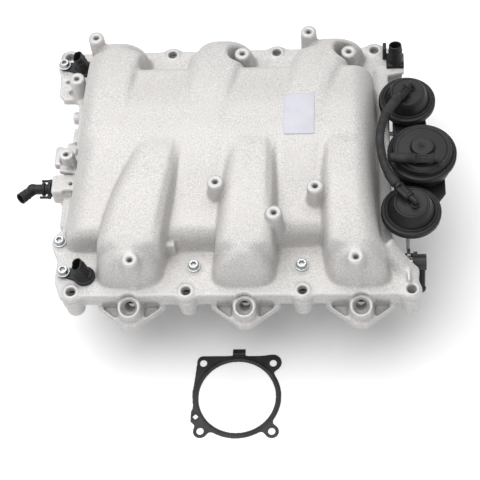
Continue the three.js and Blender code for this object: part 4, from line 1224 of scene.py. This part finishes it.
def elbow_fitting():
    """A plastic pipe out of the spigot box, with two lugs, and a ribbed mouth turned to the front."""
    s = Solid(*box_mm("elbow_fitting"), FINE_CELL)
    y, z = ELBOW_Y, ELBOW_Z
    bend, end = np.array((-191.5, y - 0.5, z)), np.array((-201.5, y - 13.5, z + 4))
    s.add(cone((-158.8, y, z), (-192, y, z), 5.0, edge=0.4), ball((-192, y, z), 5.6), fillet=1.0)
    s.add(cone(bend, end, 5.0, 5.6, 0.5), fillet=1.2)
    for share in (0.45, 0.7, 0.93):
        at = bend + (end - bend) * share
        s.add(cone(at, at + (end - bend) * 0.06, 5.9, 5.7, 0.3), fillet=0.3)
    s.add(cone((-176, y, z), (-172.6, y, z), 8.0, 7.6, 0.5), fillet=0.6)
    s.add(cone((-182, y, z), (-179.2, y, z), 7.0, 6.6, 0.4), fillet=0.6)
    for hand in (-1, 1):
        s.add(slab(-176, -172.8, *sorted((y + hand * 6, y + hand * 10.4)), z - 2.3, z + 2.3, 0.5), fillet=0.6)
        s.add(slab(-184, -173, *sorted((y + hand * 8.8, y + hand * 10.2)), z - 1.8, z + 1.8, 0.4), fillet=0.3)
    s.cut(bore((-150, y, z), (-192, y, z), 3.4))
    s.cut(bore(bend, end + (end - bend) * 0.3, 4.2, 4.6))
    stand_in(s.soften().mesh("elbow_fitting_body"), "elbow_fitting")


# ------------------------------------------------------------------ screws
HEAD_HEIGHT = 5.4


def cap_screw(node):
    """A flanged round head with a six-lobed socket, and a plain shank."""
    low, high = box_mm(node)
    s = Solid(low, high, SCREW_CELL)
    x, y = (low[0] + high[0]) / 2, (low[1] + high[1]) / 2
    base, top = high[2] - HEAD_HEIGHT, high[2]
    s.add(post(x, y, base, base + 1.2, 6.1, edge=0.35))
    s.add(post(x, y, base + 1, base + 2.2, 5.2, 4.7, 0.3), fillet=0.3)
    s.add(post(x, y, base + 1, top, 4.5, 4.4, 0.7), fillet=0.3)
    for a in (pi * i / 3 for i in range(6)):
        s.cut(hole(x + 2.0 * cos(a), y + 2.0 * sin(a), base + 2.4, top + 1, 0.8))
    s.cut(hole(x, y, base + 2.4, top + 1, 2.1))
    s.add(post(x, y, low[2], base + 0.6, 2.45, edge=0.4))
    stand_in(s.mesh(f"{node}_body"), node)


def end_screw(node):
    """A bracket screw: round head towards the right end, with a round socket."""
    low, high = box_mm(node)
    s = Solid(low, high, SCREW_CELL)
    y, z = (low[1] + high[1]) / 2, (low[2] + high[2]) / 2
    s.add(cone((160.8, y, z), (165, y, z), 4.7, 4.5), cone((153.6, y, z), (162, y, z), 2.35, edge=0.3))
    s.cut(bore((162.6, y, z), (168, y, z), 2.1))
    stand_in(s.mesh(f"{node}_body"), node)


# ------------------------------------------------------------------ throttle gasket
GASKET_CENTRE = (6.5, -198.6)  # its bore's centre, which the other places are measured from
GASKET_BOLT_HOLE_R = 3.3
GASKET_PLATE = [(-33.6, 37), (33, 37), (24, 24), (-24, 0), (-36.4, 3)]
WINDOW_X, WINDOW_Y = -38.5, -20.5
GASKET_EARS = ((33.5, 35, 7.2), (33.5, -35, 6.8), (-33.5, -35, 6.8), (WINDOW_X, WINDOW_Y, 6.6))
TAB_X, TAB_Y = 0.5, 44
SHEET, BEAD = 0.6, 0.5  # thickness, and height of the raised line on it


def gasket_outline(dx, dy):
    """Plan distance to the sheet: ring, square left corner with a straight top edge, ears and tab."""
    plan = smooth_min(np.hypot(dx + 0.3, dy) - 42.2, outline_distance(GASKET_PLATE, dx, dy) - 6, 2)
    for ear_x, ear_y, ear_r in GASKET_EARS:
        plan = smooth_min(plan, np.hypot(dx - ear_x, dy - ear_y) - ear_r, 7)
    tab = np.maximum(np.abs(dx - TAB_X) - 6.2, np.abs(dy - TAB_Y) - 6.5)
    return smooth_min(plan, tab, 1)


def gasket_sheet(x, y, z):
    """The sheet with its bore, bolt holes and diamond window, and a bead round bore, tab and window."""
    dx, dy = x - GASKET_CENTRE[0], y - GASKET_CENTRE[1]
    reach = np.hypot(dx, dy)
    plan = np.maximum(gasket_outline(dx, dy), THROTTLE_R - reach)
    for bx in (-THROTTLE_BOLT_Y, THROTTLE_BOLT_Y):
        for by in (-THROTTLE_BOLT_Z, THROTTLE_BOLT_Z):
            plan = np.maximum(plan, GASKET_BOLT_HOLE_R - np.hypot(dx - bx, dy - by))
    diamond = np.abs(dx - WINDOW_X) + np.abs(dy - WINDOW_Y)
    plan = np.maximum(plan, -(diamond - 2.6))
    bead = crest(reach - 39.4, 1.0) + crest(dy - 45.5, 0.7) * (np.abs(dx - TAB_X) < 5.6)
    top = SHEET + BEAD * np.clip(bead + crest(diamond - 4.2, 0.8), 0, 1)
    return rounded(plan, np.maximum(0.02 - z, z - top), 0.15)


def throttle_gasket():
    s = Solid(*box_mm("throttle_gasket"), GASKET_CELL)
    where, x, y, z = s.whole()
    s.field[where] = gasket_sheet(x, y, z)
    stand_in(s.mesh("gasket_sheet"), "throttle_gasket")


# ------------------------------------------------------------------ label
LABEL_CORNER, LABEL_THICK, LABEL_CLEAR = 1.6, 0.25, 0.35


def label():
    """A thin film that follows the runner under it, with rounded corners."""
    low, high = box_mm("blank_label")
    nx, ny = 56, 90
    wide = nx + 1
    bm = bmesh.new()
    top, bottom = [], []
    for k in range(wide * (ny + 1)):
        x = low[0] + (high[0] - low[0]) * (k % wide) / nx
        y = low[1] + (high[1] - low[1]) * (k // wide) / ny
        cx = min(max(x, low[0] + LABEL_CORNER), high[0] - LABEL_CORNER)
        cy = min(max(y, low[1] + LABEL_CORNER), high[1] - LABEL_CORNER)
        pull = min(1, LABEL_CORNER / max(hypot(x - cx, y - cy), 1e-9))
        x, y = cx + (x - cx) * pull, cy + (y - cy) * pull
        z = FLANGE_TOP + float(relief(np.array([[x]]), np.array([[y]]))[0, 0]) + LABEL_CLEAR
        top.append(bm.verts.new((x * MM, y * MM, (z + LABEL_THICK) * MM)))
        bottom.append(bm.verts.new((x * MM, y * MM, z * MM)))
    for j in range(ny):
        for k in range(j * wide, j * wide + nx):
            bm.faces.new([top[n] for n in (k, k + 1, k + wide + 1, k + wide)])
            bm.faces.new([bottom[n] for n in (k + wide, k + wide + 1, k + 1, k)])
    edge = [*range(nx)] + [nx + wide * j for j in range(ny)]
    edge += [ny * wide + nx - i for i in range(nx)] + [wide * (ny - j) for j in range(ny)]
    band(bm, [bottom[k] for k in edge], [top[k] for k in edge])
    stand_in(surface("label_film_sheet", bm), "blank_label")


# ------------------------------------------------------------------ bracket
BRACKET_OUTLINE = [
    (158.5, -83), (175, -83), (189, -59.5), (203, -39.5), (203, 3.5),
    (189, 29.5), (185, 75), (175, 83), (158.5, 83),
]


def bracket():
    """The shelf under the cans, with its folded walls and the gussets between them."""
    s = Solid(*box_mm("actuator_bracket"), BRACKET_CELL)
    s.add(prism(BRACKET_OUTLINE, 100.7, 103.5, 0.9, 0.6))
    for y0, y1 in ((-50, -14), (22, 84)):
        s.add(slab(157.3, 160.3, y0, y1, 77.2, 103.5, 0.6), fillet=2)
    for y in (-48, -16, 24, 60, 82):
        s.add(prism([(159, 84), (159, 101.5), (168, 101.5)], y - 1, y + 1, 0.4, 0.4, "y"), fillet=0.8)
    for a in ACTUATORS:
        s.cut(hole(a.x, a.y, 96, 106, ROD_HOLE_R + 2))
    for y, z in BRACKET_SCREWS:
        s.cut(bore((150, y, z), (170, y, z), 3))
    stand_in(s.soften().mesh("bracket_plate"), "actuator_bracket")


# ------------------------------------------------------------------ the scene
camera()
stage()
softbox("overhead", (-0.3, 0.2, 1.45), (2.1, 1.7), 29)
softbox("fill", (0.3, -1.3, 1.0), (0.9, 0.7), 3)

upper_shell_piece()
lower_shell_piece()
for can in ACTUATORS:
    can_base(can)
    can_cap(can)
hose()
slotted_connector("rear", (173.7, 66, 132.2), (161.2, 49.2, 133.2), REAR_CAN)
slotted_connector("front", (173.5, -67, 132.2), (157.4, -49, 133), FRONT_CAN)
hose_elbow()
for seat, side in zip(SENSOR_SEATS, ("front", "rear")):
    position_sensor(side, *seat)
rear_sensor()
elbow_fitting()
for place in ("front", "rear"):
    cap_screw(f"sensor_screw_{place}")
for place in ("left", "middle", "right"):
    cap_screw(f"shell_screw_{place}")
for number in (1, 2):
    end_screw(f"bracket_screw_{number}")
throttle_gasket()
label()
bracket()

for node, ob in frame["nodes"].items():
    ob.data.materials.clear()
    ob.data.materials.append(MATERIALS[SLOT_OF[node]])
